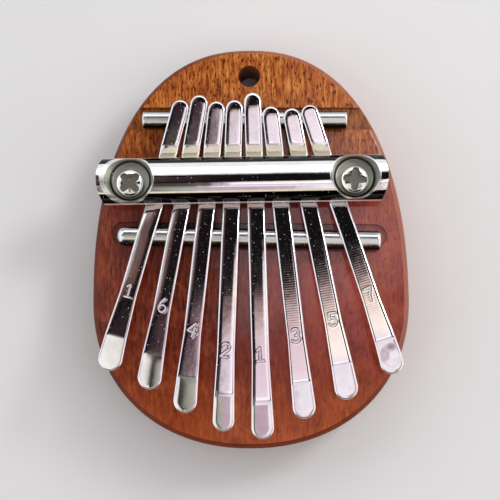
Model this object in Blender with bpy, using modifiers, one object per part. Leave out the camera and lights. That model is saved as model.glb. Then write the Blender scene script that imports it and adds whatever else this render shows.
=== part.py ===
"""Pocket kalimba: an egg-shaped hardwood board with eight steel tines clamped over two rods.

Units are metres. The flat back of the board lies on z = 0 with its middle at the origin, +Z points
out of the front and +Y points to the end with the key-ring hole. The tines play at the -Y end.
"""
import math
from collections import namedtuple

import bmesh
import bpy
from mathutils import Vector

MM = 0.001

# Gap kept between pieces that touch on the real instrument
CONTACT_GAP = 0.3 * MM

# How far a cutter runs past the face that it opens
CUT_OVERRUN = 1.0 * MM

# Soundboard: two half superellipses that meet on the widest line
BOARD_WIDTH = 65.0 * MM
BOARD_HOLE_END_REACH = 52.5 * MM
BOARD_PLAY_END_REACH = 30.5 * MM
BOARD_THICKNESS = 10.0 * MM
HOLE_END_FULLNESS = 2.3
PLAY_END_FULLNESS = 2.15
BOARD_EDGE_EASE = 1.0 * MM
OUTLINE_POINTS = 88

# Key-ring hole
RING_HOLE_DIAMETER = 4.6 * MM
RING_HOLE_FROM_END = 5.8 * MM
RING_HOLE_OFFSET_X = 0.3 * MM

# Backstop rod and the groove that it lies in
BACKSTOP_DIAMETER = 3.6 * MM
BACKSTOP_LENGTH = 42.4 * MM
BACKSTOP_X = -0.7 * MM
BACKSTOP_FROM_BAR = 13.0 * MM
BACKSTOP_SKEW = math.radians(-1.0)
BACKSTOP_END_EASE = 0.5 * MM
GROOVE_SIDE_ROOM = 1.1 * MM
GROOVE_DEPTH = 0.6 * MM
GROOVE_SHIFT = 0.7 * MM

# Bridge rod and the stopped slot that it lies in
BRIDGE_DIAMETER = 4.0 * MM
BRIDGE_LENGTH = 54.0 * MM
BRIDGE_X = -0.2 * MM
BRIDGE_FROM_BAR = 11.8 * MM
BRIDGE_SKEW = math.radians(-2.0)
BRIDGE_END_EASE = 1.1 * MM
SLOT_SIDE_ROOM = 1.0 * MM
SLOT_END_ROOM = 1.4 * MM
SLOT_DEPTH = 0.6 * MM
SLOT_SHIFT = 0.9 * MM
SLOT_SKEW = math.radians(-1.4)

# Pressure bar, a half-round section with an upright lip along each side
BAR_WIDTH = 9.5 * MM
BAR_HEIGHT = 4.7 * MM
BAR_LIP = 0.5 * MM
BAR_FROM_HOLE_END = 28.6 * MM
BAR_PAST_SCREW = 6.6 * MM
BAR_END_RADIUS = 10.0 * MM

# Screws, and the tapered recesses that hold their heads
LEFT_SCREW_ROOM = 2.7 * MM
RIGHT_SCREW_ROOM = 1.42 * MM
SCREW_SETBACK = 0.6 * MM
SCREW_DIAMETER = 3.0 * MM
SCREW_LENGTH = 12.0 * MM
SCREW_POINT = 1.5 * MM
HEAD_DIAMETER = 5.6 * MM
HEAD_RIM = 0.9 * MM
HEAD_DOME = 1.0 * MM
CROSS_SPAN = 4.7 * MM
CROSS_ARM = 1.3 * MM
CROSS_DEPTH = 1.1 * MM
LEFT_CROSS_TURN = math.radians(43.0)
RIGHT_CROSS_TURN = math.radians(-6.0)
RECESS_FOOT_WALL = 0.5 * MM
RECESS_FLARE = 0.6 * MM
RECESS_FLOOR_HEIGHT = 1.0 * MM
PILOT_ROOM = 1.0 * MM

# Tines, bent up from spring-steel strip
TINE_WIDTH = 3.55 * MM
TINE_THICKNESS = 0.9 * MM
TINE_EDGE_EASE = 0.2 * MM
TINE_FLARE_LENGTH = 13.0 * MM
TINE_TIP_LENGTH = 7.0 * MM
TINE_TIP_BEND = math.radians(14.0)
TINE_RISE = math.radians(6.0)
TINE_BEND_RADIUS = 1.2 * MM
CLAMP_DROP = 1.3 * MM
STEP_FROM_BAR = 0.65 * MM
STEP_RUN = 2.0 * MM

# Tails, side by side over the backstop rod: the middle of their row, and the gap after each tail
TAIL_ROW_X = -0.8 * MM
TAIL_1_GAP = 0.39 * MM
TAIL_2_GAP = 0.35 * MM
TAIL_3_GAP = 0.28 * MM
TAIL_4_GAP = 0.35 * MM
TAIL_5_GAP = 0.14 * MM
TAIL_6_GAP = 0.73 * MM
TAIL_7_GAP = 0.31 * MM

# Each tine's turn from the board's axis, its reach from the bridge rod to its tip and its tail end, and the
# width of its tip
TINE_1_FAN = math.radians(-15.3)
TINE_1_BLADE = 28.3 * MM
TINE_1_TAIL = 28.9 * MM
TINE_1_TIP = 4.9 * MM
TINE_2_FAN = math.radians(-10.2)
TINE_2_BLADE = 31.4 * MM
TINE_2_TAIL = 29.55 * MM
TINE_2_TIP = 4.85 * MM
TINE_3_FAN = math.radians(-6.3)
TINE_3_BLADE = 35.6 * MM
TINE_3_TAIL = 28.1 * MM
TINE_3_TIP = 4.7 * MM
TINE_4_FAN = math.radians(-2.5)
TINE_4_BLADE = 38.9 * MM
TINE_4_TAIL = 28.4 * MM
TINE_4_TIP = 4.3 * MM
TINE_5_FAN = math.radians(1.0)
TINE_5_BLADE = 40.3 * MM
TINE_5_TAIL = 30.1 * MM
TINE_5_TIP = 4.45 * MM
TINE_6_FAN = math.radians(5.4)
TINE_6_BLADE = 36.4 * MM
TINE_6_TAIL = 27.4 * MM
TINE_6_TIP = 4.55 * MM
TINE_7_FAN = math.radians(9.9)
TINE_7_BLADE = 32.9 * MM
TINE_7_TAIL = 27.4 * MM
TINE_7_TIP = 4.7 * MM
TINE_8_FAN = math.radians(16.5)
TINE_8_BLADE = 28.4 * MM
TINE_8_TAIL = 29.0 * MM
TINE_8_TIP = 4.75 * MM

Tine = namedtuple("Tine", "tail_x fan blade tail tip")

# Facets on the round forms
ROD_SIDES = 24
HOLE_SIDES = 24
RECESS_SIDES = 32
SCREW_STEPS = 24
BAR_ARC_STEPS = 16
END_ARC_STEPS = 8
BAR_END_STEPS = 9
BEND_STEPS = 3
DOME_STEPS = 4
EASE_SEGMENTS = 2
SHARP_ANGLE = math.radians(50.0)
FLAT_ANGLE = math.radians(0.1)
WELD_DISTANCE = 0.001 * MM

# Colours, roughness and metallic value of each material
WOOD = ("sapele_wood", (0.30, 0.085, 0.035, 1.0), 0.25, 0.0)
CHROME = ("chrome_plate", (0.80, 0.80, 0.82, 1.0), 0.08, 1.0)
STEEL = ("polished_steel", (0.72, 0.71, 0.72, 1.0), 0.15, 1.0)
ZINC = ("zinc_screw", (0.70, 0.72, 0.70, 1.0), 0.22, 1.0)

# Places, sizes and levels that follow from the values above
BOARD_LENGTH = BOARD_HOLE_END_REACH + BOARD_PLAY_END_REACH
BOARD_WIDEST_Y = BOARD_PLAY_END_REACH - BOARD_LENGTH / 2
BAR_Y = BOARD_LENGTH / 2 - BAR_FROM_HOLE_END
BACKSTOP_Y = BAR_Y + BACKSTOP_FROM_BAR
BRIDGE_Y = BAR_Y - BRIDGE_FROM_BAR
RECESS_FLOOR_RADIUS = BAR_WIDTH / 2 - RECESS_FOOT_WALL
BACKSTOP_Z = BOARD_THICKNESS - GROOVE_DEPTH + CONTACT_GAP + BACKSTOP_DIAMETER / 2
BRIDGE_Z = BOARD_THICKNESS - SLOT_DEPTH + CONTACT_GAP + BRIDGE_DIAMETER / 2
TAIL_Z = BACKSTOP_Z + BACKSTOP_DIAMETER / 2 + CONTACT_GAP + TINE_THICKNESS / 2
BRIDGE_TINE_Z = BRIDGE_Z + BRIDGE_DIAMETER / 2 + CONTACT_GAP + TINE_THICKNESS / 2
CLAMP_Z = TAIL_Z - CLAMP_DROP
BAR_Z = CLAMP_Z + TINE_THICKNESS / 2 + CONTACT_GAP
RECESS_FLOOR_Z = BAR_Z + RECESS_FLOOR_HEIGHT
HEAD_SEAT_Z = RECESS_FLOOR_Z + CONTACT_GAP
SCREW_TIP_Z = HEAD_SEAT_Z - SCREW_LENGTH


def clear_scene():
    """Remove every object that the file starts with."""
    for leftover in list(bpy.data.objects):
        bpy.data.objects.remove(leftover, do_unlink=True)


def new_collection(name):
    """Make a collection in the scene."""
    collection = bpy.data.collections.new(name)
    bpy.context.scene.collection.children.link(collection)
    return collection


def new_material(name, colour, roughness, metallic):
    """Make a Principled material."""
    made = bpy.data.materials.new(name)
    made.use_nodes = True
    shader = made.node_tree.nodes["Principled BSDF"]
    shader.inputs["Base Color"].default_value = colour
    shader.inputs["Roughness"].default_value = roughness
    shader.inputs["Metallic"].default_value = metallic
    return made


def mesh_from(working, name):
    """Turn a working bmesh into a mesh."""
    mesh = bpy.data.meshes.new(name)
    working.to_mesh(mesh)
    working.free()
    return mesh


def add_piece(name, mesh, look):
    """Add a named piece of the instrument to its collection."""
    piece = bpy.data.objects.new(name, mesh)
    mesh.materials.append(new_material(name + "_" + look[0], *look[1:]))
    mesh.shade_smooth()
    mesh.set_sharp_from_angle(angle=SHARP_ANGLE)
    INSTRUMENT.objects.link(piece)
    return piece


def add_cutter(name, mesh):
    """Add a cutting tool, which is not a piece of the instrument."""
    cutter = bpy.data.objects.new(name, mesh)
    cutter.hide_render = True
    cutter.display_type = "WIRE"
    CUTTERS.objects.link(cutter)
    return cutter


def cut(piece, cutter, operation="DIFFERENCE"):
    """Take the cutter's shape out of a piece, or keep only what lies inside it."""
    step = piece.modifiers.new(cutter.name, "BOOLEAN")
    step.operation = operation
    step.solver = "EXACT"
    step.object = cutter


def ease_edges(piece, width, segments):
    """Round the sharp edges of a piece."""
    step = piece.modifiers.new("eased_edges", "BEVEL")
    step.width = width
    step.segments = segments
    step.limit_method = "ANGLE"
    step.angle_limit = SHARP_ANGLE


def prism(name, outline, depth):
    """Fill a closed flat outline and extrude it by half the depth to each side."""
    drawing = bpy.data.curves.new(name, "CURVE")
    drawing.dimensions = "2D"
    drawing.fill_mode = "BOTH"
    drawing.extrude = depth / 2
    spline = drawing.splines.new("POLY")
    spline.points.add(len(outline) - 1)
    for point, (x, y) in zip(spline.points, outline):
        point.co = (x, y, 0.0, 1.0)
    spline.use_cyclic_u = True
    holder = bpy.data.objects.new(name, drawing)
    bpy.context.scene.collection.objects.link(holder)
    graph = bpy.context.evaluated_depsgraph_get()
    mesh = bpy.data.meshes.new_from_object(holder.evaluated_get(graph))
    mesh.name = name
    bpy.data.objects.remove(holder, do_unlink=True)
    working = bmesh.new()
    working.from_mesh(mesh)
    bmesh.ops.remove_doubles(working, verts=working.verts, dist=WELD_DISTANCE)
    bmesh.ops.dissolve_limit(working, angle_limit=FLAT_ANGLE, verts=[], edges=working.edges)
    bmesh.ops.recalc_face_normals(working, faces=working.faces)
    working.to_mesh(mesh)
    working.free()
    return mesh


def round_bar(name, low_radius, high_radius, length, sides):
    """Make a closed cylinder or cone along Z, centred on the origin."""
    working = bmesh.new()
    bmesh.ops.create_cone(
        working,
        cap_ends=True,
        segments=sides,
        radius1=low_radius,
        radius2=high_radius,
        depth=length,
    )
    return mesh_from(working, name)


def egg_outline():
    """Points round the board, from a superellipse with its own reach and fullness at each end."""
    points = []
    for index in range(OUTLINE_POINTS):
        turn = 2 * math.pi * index / OUTLINE_POINTS
        across = math.cos(turn)
        along = math.sin(turn)
        at_hole_end = along >= 0
        fullness = HOLE_END_FULLNESS if at_hole_end else PLAY_END_FULLNESS
        reach = BOARD_HOLE_END_REACH if at_hole_end else BOARD_PLAY_END_REACH
        x = math.copysign(abs(across) ** (2 / fullness), across) * BOARD_WIDTH / 2
        y = math.copysign(abs(along) ** (2 / fullness), along) * reach
        points.append((x, BOARD_WIDEST_Y + y))
    return points


def stadium_outline(length, width):
    """Points round a slot with round ends, lying along X."""
    radius = width / 2
    straight = length / 2 - radius
    points = []
    for side in (1, -1):
        for index in range(END_ARC_STEPS + 1):
            turn = math.pi * index / END_ARC_STEPS - math.pi / 2
            x = side * (straight + radius * math.cos(turn))
            y = side * radius * math.sin(turn)
            points.append((x, y))
    return points


def tail_places():
    """Where the middle line of each tail crosses the backstop rod."""
    gaps = (TAIL_1_GAP, TAIL_2_GAP, TAIL_3_GAP, TAIL_4_GAP, TAIL_5_GAP, TAIL_6_GAP, TAIL_7_GAP)
    row_width = sum(TINE_WIDTH + gap for gap in gaps)
    places = [TAIL_ROW_X - row_width / 2]
    for gap in gaps:
        places.append(places[-1] + TINE_WIDTH + gap)
    return places


def tines_in_order():
    """The sizes of every tine, from left to right."""
    sizes = (
        (TINE_1_FAN, TINE_1_BLADE, TINE_1_TAIL, TINE_1_TIP),
        (TINE_2_FAN, TINE_2_BLADE, TINE_2_TAIL, TINE_2_TIP),
        (TINE_3_FAN, TINE_3_BLADE, TINE_3_TAIL, TINE_3_TIP),
        (TINE_4_FAN, TINE_4_BLADE, TINE_4_TAIL, TINE_4_TIP),
        (TINE_5_FAN, TINE_5_BLADE, TINE_5_TAIL, TINE_5_TIP),
        (TINE_6_FAN, TINE_6_BLADE, TINE_6_TAIL, TINE_6_TIP),
        (TINE_7_FAN, TINE_7_BLADE, TINE_7_TAIL, TINE_7_TIP),
        (TINE_8_FAN, TINE_8_BLADE, TINE_8_TAIL, TINE_8_TIP),
    )
    return [Tine(tail_x, *rest) for tail_x, rest in zip(tail_places(), sizes)]


def screw_places():
    """Axis of the left and the right screw in plan, each beside the outermost tine under the bar."""
    tines = tines_in_order()
    rooms = (LEFT_SCREW_ROOM, RIGHT_SCREW_ROOM)
    places = []
    for side, tine, room in zip((-1, 1), (tines[0], tines[-1]), rooms):
        tine_x = tine.tail_x + (BACKSTOP_Y - BAR_Y) * math.tan(tine.fan)
        half_tine = TINE_WIDTH / 2 / math.cos(tine.fan)
        places.append((tine_x + side * (half_tine + room + SCREW_DIAMETER / 2), BAR_Y - SCREW_SETBACK))
    return places


def bar_ends():
    """The left and the right end of the bar along X."""
    (left, _), (right, _) = screw_places()
    return left - BAR_PAST_SCREW, right + BAR_PAST_SCREW


def make_soundboard():
    """The board with its eased edge, groove, slot, key-ring hole and pilot holes."""
    board = add_piece("soundboard", prism("soundboard", egg_outline(), BOARD_THICKNESS), WOOD)
    board.location.z = BOARD_THICKNESS / 2
    ease_edges(board, BOARD_EDGE_EASE, EASE_SEGMENTS)

    groove_length = BOARD_WIDTH + 2 * CUT_OVERRUN
    groove_width = BACKSTOP_DIAMETER + GROOVE_SIDE_ROOM
    working = bmesh.new()
    bmesh.ops.create_cube(working, size=1.0)
    groove_size = Vector((groove_length, groove_width, GROOVE_DEPTH + CUT_OVERRUN))
    bmesh.ops.scale(working, verts=working.verts, vec=groove_size)
    groove = add_cutter("groove_cutter", mesh_from(working, "groove_cutter"))
    groove.location = (0, BACKSTOP_Y + GROOVE_SHIFT, BOARD_THICKNESS + (CUT_OVERRUN - GROOVE_DEPTH) / 2)
    groove.rotation_euler.z = BACKSTOP_SKEW
    cut(board, groove)

    slot_length = BRIDGE_LENGTH + 2 * SLOT_END_ROOM
    slot_width = BRIDGE_DIAMETER + SLOT_SIDE_ROOM
    slot_outline = stadium_outline(slot_length, slot_width)
    slot = add_cutter("slot_cutter", prism("slot_cutter", slot_outline, SLOT_DEPTH + CUT_OVERRUN))
    slot.location = (BRIDGE_X, BRIDGE_Y + SLOT_SHIFT, BOARD_THICKNESS + (CUT_OVERRUN - SLOT_DEPTH) / 2)
    slot.rotation_euler.z = SLOT_SKEW
    cut(board, slot)

    hole_radius = RING_HOLE_DIAMETER / 2
    hole_length = BOARD_THICKNESS + 2 * CUT_OVERRUN
    hole_mesh = round_bar("ring_hole_cutter", hole_radius, hole_radius, hole_length, HOLE_SIDES)
    hole = add_cutter("ring_hole_cutter", hole_mesh)
    hole.location = (RING_HOLE_OFFSET_X, BOARD_LENGTH / 2 - RING_HOLE_FROM_END, BOARD_THICKNESS / 2)
    cut(board, hole)

    pilot_floor = SCREW_TIP_Z - PILOT_ROOM
    pilot_length = BOARD_THICKNESS + CUT_OVERRUN - pilot_floor
    pilot_radius = SCREW_DIAMETER / 2 + CONTACT_GAP
    for number, (x, y) in enumerate(screw_places(), start=1):
        name = f"pilot_cutter_{number}"
        pilot = add_cutter(name, round_bar(name, pilot_radius, pilot_radius, pilot_length, HOLE_SIDES))
        pilot.location = (x, y, pilot_floor + pilot_length / 2)
        cut(board, pilot)


def make_rod(name, diameter, length, place, skew, end_ease):
    """A loose steel rod, lying across the board with eased ends."""
    rod = add_piece(name, round_bar(name, diameter / 2, diameter / 2, length, ROD_SIDES), CHROME)
    rod.rotation_euler = (0, math.pi / 2, skew)
    rod.location = place
    ease_edges(rod, end_ease, EASE_SEGMENTS)


def bar_section():
    """Half-round section of the bar, as points across it and up from its flat underside."""
    points = [(-BAR_WIDTH / 2, 0.0), (BAR_WIDTH / 2, 0.0)]
    for index in range(BAR_ARC_STEPS + 1):
        turn = math.pi * index / BAR_ARC_STEPS
        height = BAR_LIP + (BAR_HEIGHT - BAR_LIP) * math.sin(turn)
        points.append((BAR_WIDTH / 2 * math.cos(turn), height))
    return points


def bar_plan(length):
    """Plan of the bar with bowed ends, wider than the bar so that only the ends are shaped."""
    half_width = BAR_WIDTH / 2 + CUT_OVERRUN
    half_turn = math.asin(half_width / BAR_END_RADIUS)
    points = []
    for side in (1, -1):
        for index in range(BAR_END_STEPS + 1):
            turn = half_turn * (2 * index / BAR_END_STEPS - 1)
            x = length / 2 - BAR_END_RADIUS * (1 - math.cos(turn))
            points.append((side * x, side * BAR_END_RADIUS * math.sin(turn)))
    return points


def make_pressure_bar():
    """The half-round bar with bowed ends, and a tapered recess and a clearance hole for each screw."""
    left_end, right_end = bar_ends()
    length = right_end - left_end
    stock = prism("pressure_bar", bar_section(), length + 2 * CUT_OVERRUN)
    bar = add_piece("pressure_bar", stock, CHROME)
    bar.rotation_euler = (math.pi / 2, 0, math.pi / 2)
    bar.location = ((left_end + right_end) / 2, BAR_Y, BAR_Z)
    plan_height = 2 * (BAR_HEIGHT + CUT_OVERRUN)
    plan = add_cutter("bar_plan_cutter", prism("bar_plan_cutter", bar_plan(length), plan_height))
    plan.location = bar.location
    cut(bar, plan, "INTERSECT")

    recess_depth = BAR_HEIGHT - RECESS_FLOOR_HEIGHT
    cutter_depth = recess_depth + CUT_OVERRUN
    top_radius = RECESS_FLOOR_RADIUS + RECESS_FLARE * cutter_depth / recess_depth
    hole_radius = SCREW_DIAMETER / 2 + CONTACT_GAP
    hole_length = RECESS_FLOOR_HEIGHT + 2 * CUT_OVERRUN
    for number, (x, y) in enumerate(screw_places(), start=1):
        name = f"recess_cutter_{number}"
        recess_mesh = round_bar(name, RECESS_FLOOR_RADIUS, top_radius, cutter_depth, RECESS_SIDES)
        recess = add_cutter(name, recess_mesh)
        recess.location = (x, BAR_Y, RECESS_FLOOR_Z + cutter_depth / 2)
        recess.rotation_euler.z = math.pi / RECESS_SIDES
        cut(bar, recess)
        name = f"clearance_cutter_{number}"
        hole = add_cutter(name, round_bar(name, hole_radius, hole_radius, hole_length, HOLE_SIDES))
        hole.location = (x, y, BAR_Z + RECESS_FLOOR_HEIGHT / 2)
        cut(bar, hole)


def screw_profile():
    """Half outline of a screw from the top of its head down to its point, as radius and height."""
    head_radius = HEAD_DIAMETER / 2
    profile = []
    for index in range(DOME_STEPS + 1):
        turn = math.pi / 2 * index / DOME_STEPS
        profile.append((head_radius * math.sin(turn), HEAD_RIM + HEAD_DOME * math.cos(turn)))
    profile.append((head_radius, 0.0))
    profile.append((SCREW_DIAMETER / 2, 0.0))
    profile.append((SCREW_DIAMETER / 2, SCREW_POINT - SCREW_LENGTH))
    profile.append((0.0, -SCREW_LENGTH))
    return profile


def cross_outline():
    """Outline of the cross recess in a screw head."""
    long = CROSS_SPAN / 2
    short = CROSS_ARM / 2
    arm = ((long, -short), (long, short), (short, short))
    points = []
    for quarter in range(4):
        turn = quarter * math.pi / 2
        for x, y in arm:
            points.append((x * math.cos(turn) - y * math.sin(turn), x * math.sin(turn) + y * math.cos(turn)))
    return points


def make_screw(name, place, cross_turn):
    """A turned pan-head screw with a cross recess."""
    working = bmesh.new()
    corners = [working.verts.new((radius, 0.0, height)) for radius, height in screw_profile()]
    for upper, lower in zip(corners, corners[1:]):
        working.edges.new((upper, lower))
    screw = add_piece(name, mesh_from(working, name), ZINC)
    screw.location = (*place, HEAD_SEAT_Z)
    turned = screw.modifiers.new("turned", "SCREW")
    turned.axis = "Z"
    turned.steps = SCREW_STEPS
    turned.render_steps = SCREW_STEPS
    turned.use_merge_vertices = True
    turned.merge_threshold = WELD_DISTANCE
    cutter_name = name + "_cross_cutter"
    cutter_depth = CROSS_DEPTH + CUT_OVERRUN
    cross = add_cutter(cutter_name, prism(cutter_name, cross_outline(), cutter_depth))
    head_top = HEAD_SEAT_Z + HEAD_RIM + HEAD_DOME
    cross.location = (*place, head_top - CROSS_DEPTH + cutter_depth / 2)
    cross.rotation_euler.z = cross_turn
    cut(screw, cross)


def round_bends(corners, radius):
    """Replace each inner corner of a side view, in run and height, by a short arc."""
    path = [Vector(corners[0])]
    for before, here, after in zip(corners, corners[1:], corners[2:]):
        corner = Vector(here)
        back = (Vector(before) - corner).normalized()
        ahead = (Vector(after) - corner).normalized()
        half_turn = (math.pi - back.angle(ahead)) / 2
        setback = radius * math.tan(half_turn)
        start = corner + back * setback
        end = corner + ahead * setback
        for index in range(BEND_STEPS + 1):
            share = index / BEND_STEPS
            near = start.lerp(corner, share)
            far = corner.lerp(end, share)
            path.append(near.lerp(far, share))
    path.append(Vector(corners[-1]))
    return path


def height_at(path, run):
    """Height of a side view at a run along the tine."""
    for low, high in zip(path, path[1:]):
        if run <= high.x:
            share = (run - low.x) / (high.x - low.x)
            return low.y + share * (high.y - low.y)
    return path[-1].y


def round_end(end, direction, half_width):
    """Runs and half widths of a strip's round end, from the very end inwards."""
    rows = []
    for index in range(END_ARC_STEPS // 2 + 1):
        turn = math.pi * index / END_ARC_STEPS
        rows.append((end + direction * half_width * (1 - math.cos(turn)), half_width * math.sin(turn)))
    return rows


def bridge_crossing(tine):
    """Point in plan where a tine's middle line passes over the bridge rod."""
    slope = math.tan(BRIDGE_SKEW)
    lean = math.tan(tine.fan)
    drop = (BACKSTOP_Y - BRIDGE_Y - slope * (tine.tail_x - BRIDGE_X)) / (1 + slope * lean)
    return Vector((tine.tail_x + drop * lean, BACKSTOP_Y - drop))


def strip(name, rows, path, hinge_z, lean):
    """Bend a flat strip to a side view: rows hold run, half width and how far the row runs with the bar."""
    working = bmesh.new()
    bmesh.ops.create_grid(working, x_segments=1, y_segments=len(rows) - 1, size=0.5)
    verts = sorted(working.verts, key=lambda vert: (vert.co.y, vert.co.x))
    pairs = zip(verts[0::2], verts[1::2])
    for (run, half_width, with_bar), pair in zip(sorted(rows, reverse=True), pairs):
        height = height_at(path, run) - hinge_z
        for x, vert in zip((-half_width, half_width), pair):
            vert.co = (x, -run - x * lean * with_bar, height)
    bmesh.ops.remove_doubles(working, verts=working.verts, dist=WELD_DISTANCE)
    piece = add_piece(name, mesh_from(working, name), STEEL)
    sheet = piece.modifiers.new("strip_thickness", "SOLIDIFY")
    sheet.thickness = TINE_THICKNESS
    sheet.offset = 0.0
    sheet.use_even_offset = True
    ease_edges(piece, TINE_EDGE_EASE, 1)
    return piece


def tail_rows(tine, path):
    """Rows of the clamped tail: square to the tine at its ends and along the bar at its bends."""
    half_width = TINE_WIDTH / 2
    rows = [(run, width, 0.0) for run, width in round_end(-tine.tail, 1, half_width)]
    rows += [(point.x, half_width, 1.0) for point in path[1:-1]]
    rows.append((-CONTACT_GAP / 2, half_width, 0.0))
    return rows


def blade_rows(tine, path):
    """Rows of the playing blade, which widens towards its round tip."""
    half_width = TINE_WIDTH / 2
    tip_half_width = tine.tip / 2
    flare_end = tine.blade - tip_half_width
    flare_start = flare_end - TINE_FLARE_LENGTH
    rows = [(run, width, 0.0) for run, width in round_end(tine.blade, -1, tip_half_width)]
    for point in path[1:-1]:
        share = min(max((point.x - flare_start) / TINE_FLARE_LENGTH, 0.0), 1.0)
        rows.append((point.x, half_width + share * (tip_half_width - half_width), 0.0))
    rows.append((flare_start, half_width, 0.0))
    rows.append((CONTACT_GAP / 2, half_width, 0.0))
    return rows


def make_tine(number, tine):
    """One tine: a tail clamped under the bar and a blade that springs from the bridge rod."""
    crossing = bridge_crossing(tine)
    lean = math.tan(tine.fan)

    def run_to(y):
        return (crossing.y - y) / math.cos(tine.fan)

    pivot = bpy.data.objects.new(f"tine_{number}_pivot", None)
    pivot.empty_display_size = TINE_WIDTH
    pivot.location = (crossing.x, crossing.y, BRIDGE_TINE_Z)
    pivot.rotation_euler.z = tine.fan
    INSTRUMENT.objects.link(pivot)

    bar_far_side = BAR_Y + BAR_WIDTH / 2 + STEP_FROM_BAR
    bar_near_side = BAR_Y - BAR_WIDTH / 2 - CONTACT_GAP
    tail_path = round_bends(
        (
            (-tine.tail, TAIL_Z),
            (run_to(bar_far_side + STEP_RUN), TAIL_Z),
            (run_to(bar_far_side), CLAMP_Z),
            (run_to(bar_near_side), CLAMP_Z),
            (0.0, BRIDGE_TINE_Z),
        ),
        TINE_BEND_RADIUS,
    )
    tip_start = tine.blade - TINE_TIP_LENGTH
    tip_start_z = BRIDGE_TINE_Z + tip_start * math.tan(TINE_RISE)
    tip_end_z = tip_start_z + TINE_TIP_LENGTH * math.tan(TINE_RISE - TINE_TIP_BEND)
    blade_path = round_bends(
        ((0.0, BRIDGE_TINE_Z), (tip_start, tip_start_z), (tine.blade, tip_end_z)),
        TINE_BEND_RADIUS,
    )
    tail = strip(f"tine_{number}_tail", tail_rows(tine, tail_path), tail_path, BRIDGE_TINE_Z, lean)
    blade = strip(f"tine_{number}_blade", blade_rows(tine, blade_path), blade_path, BRIDGE_TINE_Z, lean)
    tail.parent = pivot
    blade.parent = pivot


clear_scene()
INSTRUMENT = new_collection("kalimba")
CUTTERS = new_collection("kalimba_cutters")

make_soundboard()
backstop_place = (BACKSTOP_X, BACKSTOP_Y, BACKSTOP_Z)
make_rod("backstop_rod", BACKSTOP_DIAMETER, BACKSTOP_LENGTH, backstop_place, BACKSTOP_SKEW, BACKSTOP_END_EASE)
bridge_place = (BRIDGE_X, BRIDGE_Y, BRIDGE_Z)
make_rod("bridge_rod", BRIDGE_DIAMETER, BRIDGE_LENGTH, bridge_place, BRIDGE_SKEW, BRIDGE_END_EASE)
make_pressure_bar()
left_place, right_place = screw_places()
make_screw("screw_left", left_place, LEFT_CROSS_TURN)
make_screw("screw_right", right_place, RIGHT_CROSS_TURN)
for tine_number, tine_sizes in enumerate(tines_in_order(), start=1):
    make_tine(tine_number, tine_sizes)
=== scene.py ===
"""Looks of the pocket kalimba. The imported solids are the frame, and finer pieces stand for them.

Units are metres, in the part's own frame: the back of the board lies on z = 0, +Z is the front and
+Y points to the end with the key-ring hole. The tines are counted from the left.
"""
from bisect import bisect_left
from math import asin, copysign, cos, degrees, exp, hypot, pi, radians, sin, sqrt, tan

import bmesh
import bpy
from mathutils import Matrix, Vector


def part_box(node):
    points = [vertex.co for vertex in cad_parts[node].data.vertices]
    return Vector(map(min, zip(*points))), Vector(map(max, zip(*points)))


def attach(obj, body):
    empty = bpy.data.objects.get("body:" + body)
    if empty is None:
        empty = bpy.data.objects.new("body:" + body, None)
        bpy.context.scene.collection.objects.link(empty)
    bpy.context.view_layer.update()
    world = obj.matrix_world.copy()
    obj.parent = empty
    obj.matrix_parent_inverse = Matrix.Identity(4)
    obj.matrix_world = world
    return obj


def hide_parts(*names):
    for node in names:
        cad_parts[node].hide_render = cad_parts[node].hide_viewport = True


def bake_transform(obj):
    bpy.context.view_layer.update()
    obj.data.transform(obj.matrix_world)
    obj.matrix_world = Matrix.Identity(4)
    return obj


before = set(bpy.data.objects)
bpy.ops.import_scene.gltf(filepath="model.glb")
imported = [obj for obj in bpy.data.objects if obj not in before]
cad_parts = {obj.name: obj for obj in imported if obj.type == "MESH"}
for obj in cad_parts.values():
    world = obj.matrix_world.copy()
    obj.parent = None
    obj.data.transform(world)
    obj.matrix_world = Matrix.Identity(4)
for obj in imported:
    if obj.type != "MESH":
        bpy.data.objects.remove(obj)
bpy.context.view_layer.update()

MM = 0.001
ROOT = "instrument"

# Sizes that the finer pieces share with the solids
BOARD_WIDTH = 65.0 * MM
BOARD_HOLE_END_REACH = 52.5 * MM
BOARD_PLAY_END_REACH = 30.5 * MM
BOARD_THICKNESS = 10.0 * MM
HOLE_END_FULLNESS = 2.3
PLAY_END_FULLNESS = 2.15
BOARD_EDGE = 1.0 * MM
RING_HOLE = Vector((0.3, 35.7)) * MM
RING_HOLE_RADIUS = 2.3 * MM
PILOT_FLOOR_Z = 1.8 * MM

BACKSTOP_PLACE = Vector((-0.7, 25.9, 11.5)) * MM
BACKSTOP_SKEW = radians(-1.0)
BACKSTOP_SIZE = (1.8 * MM, 42.4 * MM)
GROOVE_WIDTH = 4.7 * MM
GROOVE_DEPTH = 0.6 * MM
GROOVE_Y = 26.6 * MM

BRIDGE_PLACE = Vector((-0.2, 1.1, 11.7)) * MM
BRIDGE_SKEW = radians(-2.0)
BRIDGE_SIZE = (2.0 * MM, 54.0 * MM)
SLOT_LENGTH = 56.8 * MM
SLOT_WIDTH = 5.0 * MM
SLOT_DEPTH = 0.6 * MM
SLOT_PLACE = Vector((-0.2, 2.0)) * MM
SLOT_SKEW = radians(-1.4)

BAR_WIDTH = 9.5 * MM
BAR_HEIGHT = 4.7 * MM
BAR_LIP = 0.5 * MM
BAR_Y = 12.9 * MM
BAR_Z = 13.5 * MM
BAR_TOP = BAR_Z + BAR_HEIGHT
BAR_END_RADIUS = 10.0 * MM
BAR_PAST_SCREW = 6.6 * MM
RECESS_MOUTH_RADIUS = 4.85 * MM
RECESS_FLOOR_RADIUS = 4.25 * MM
RECESS_FLOOR_Z = BAR_Z + 1.0 * MM
RECESS_TAPER = (RECESS_MOUTH_RADIUS - RECESS_FLOOR_RADIUS) / (BAR_TOP - RECESS_FLOOR_Z)

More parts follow.
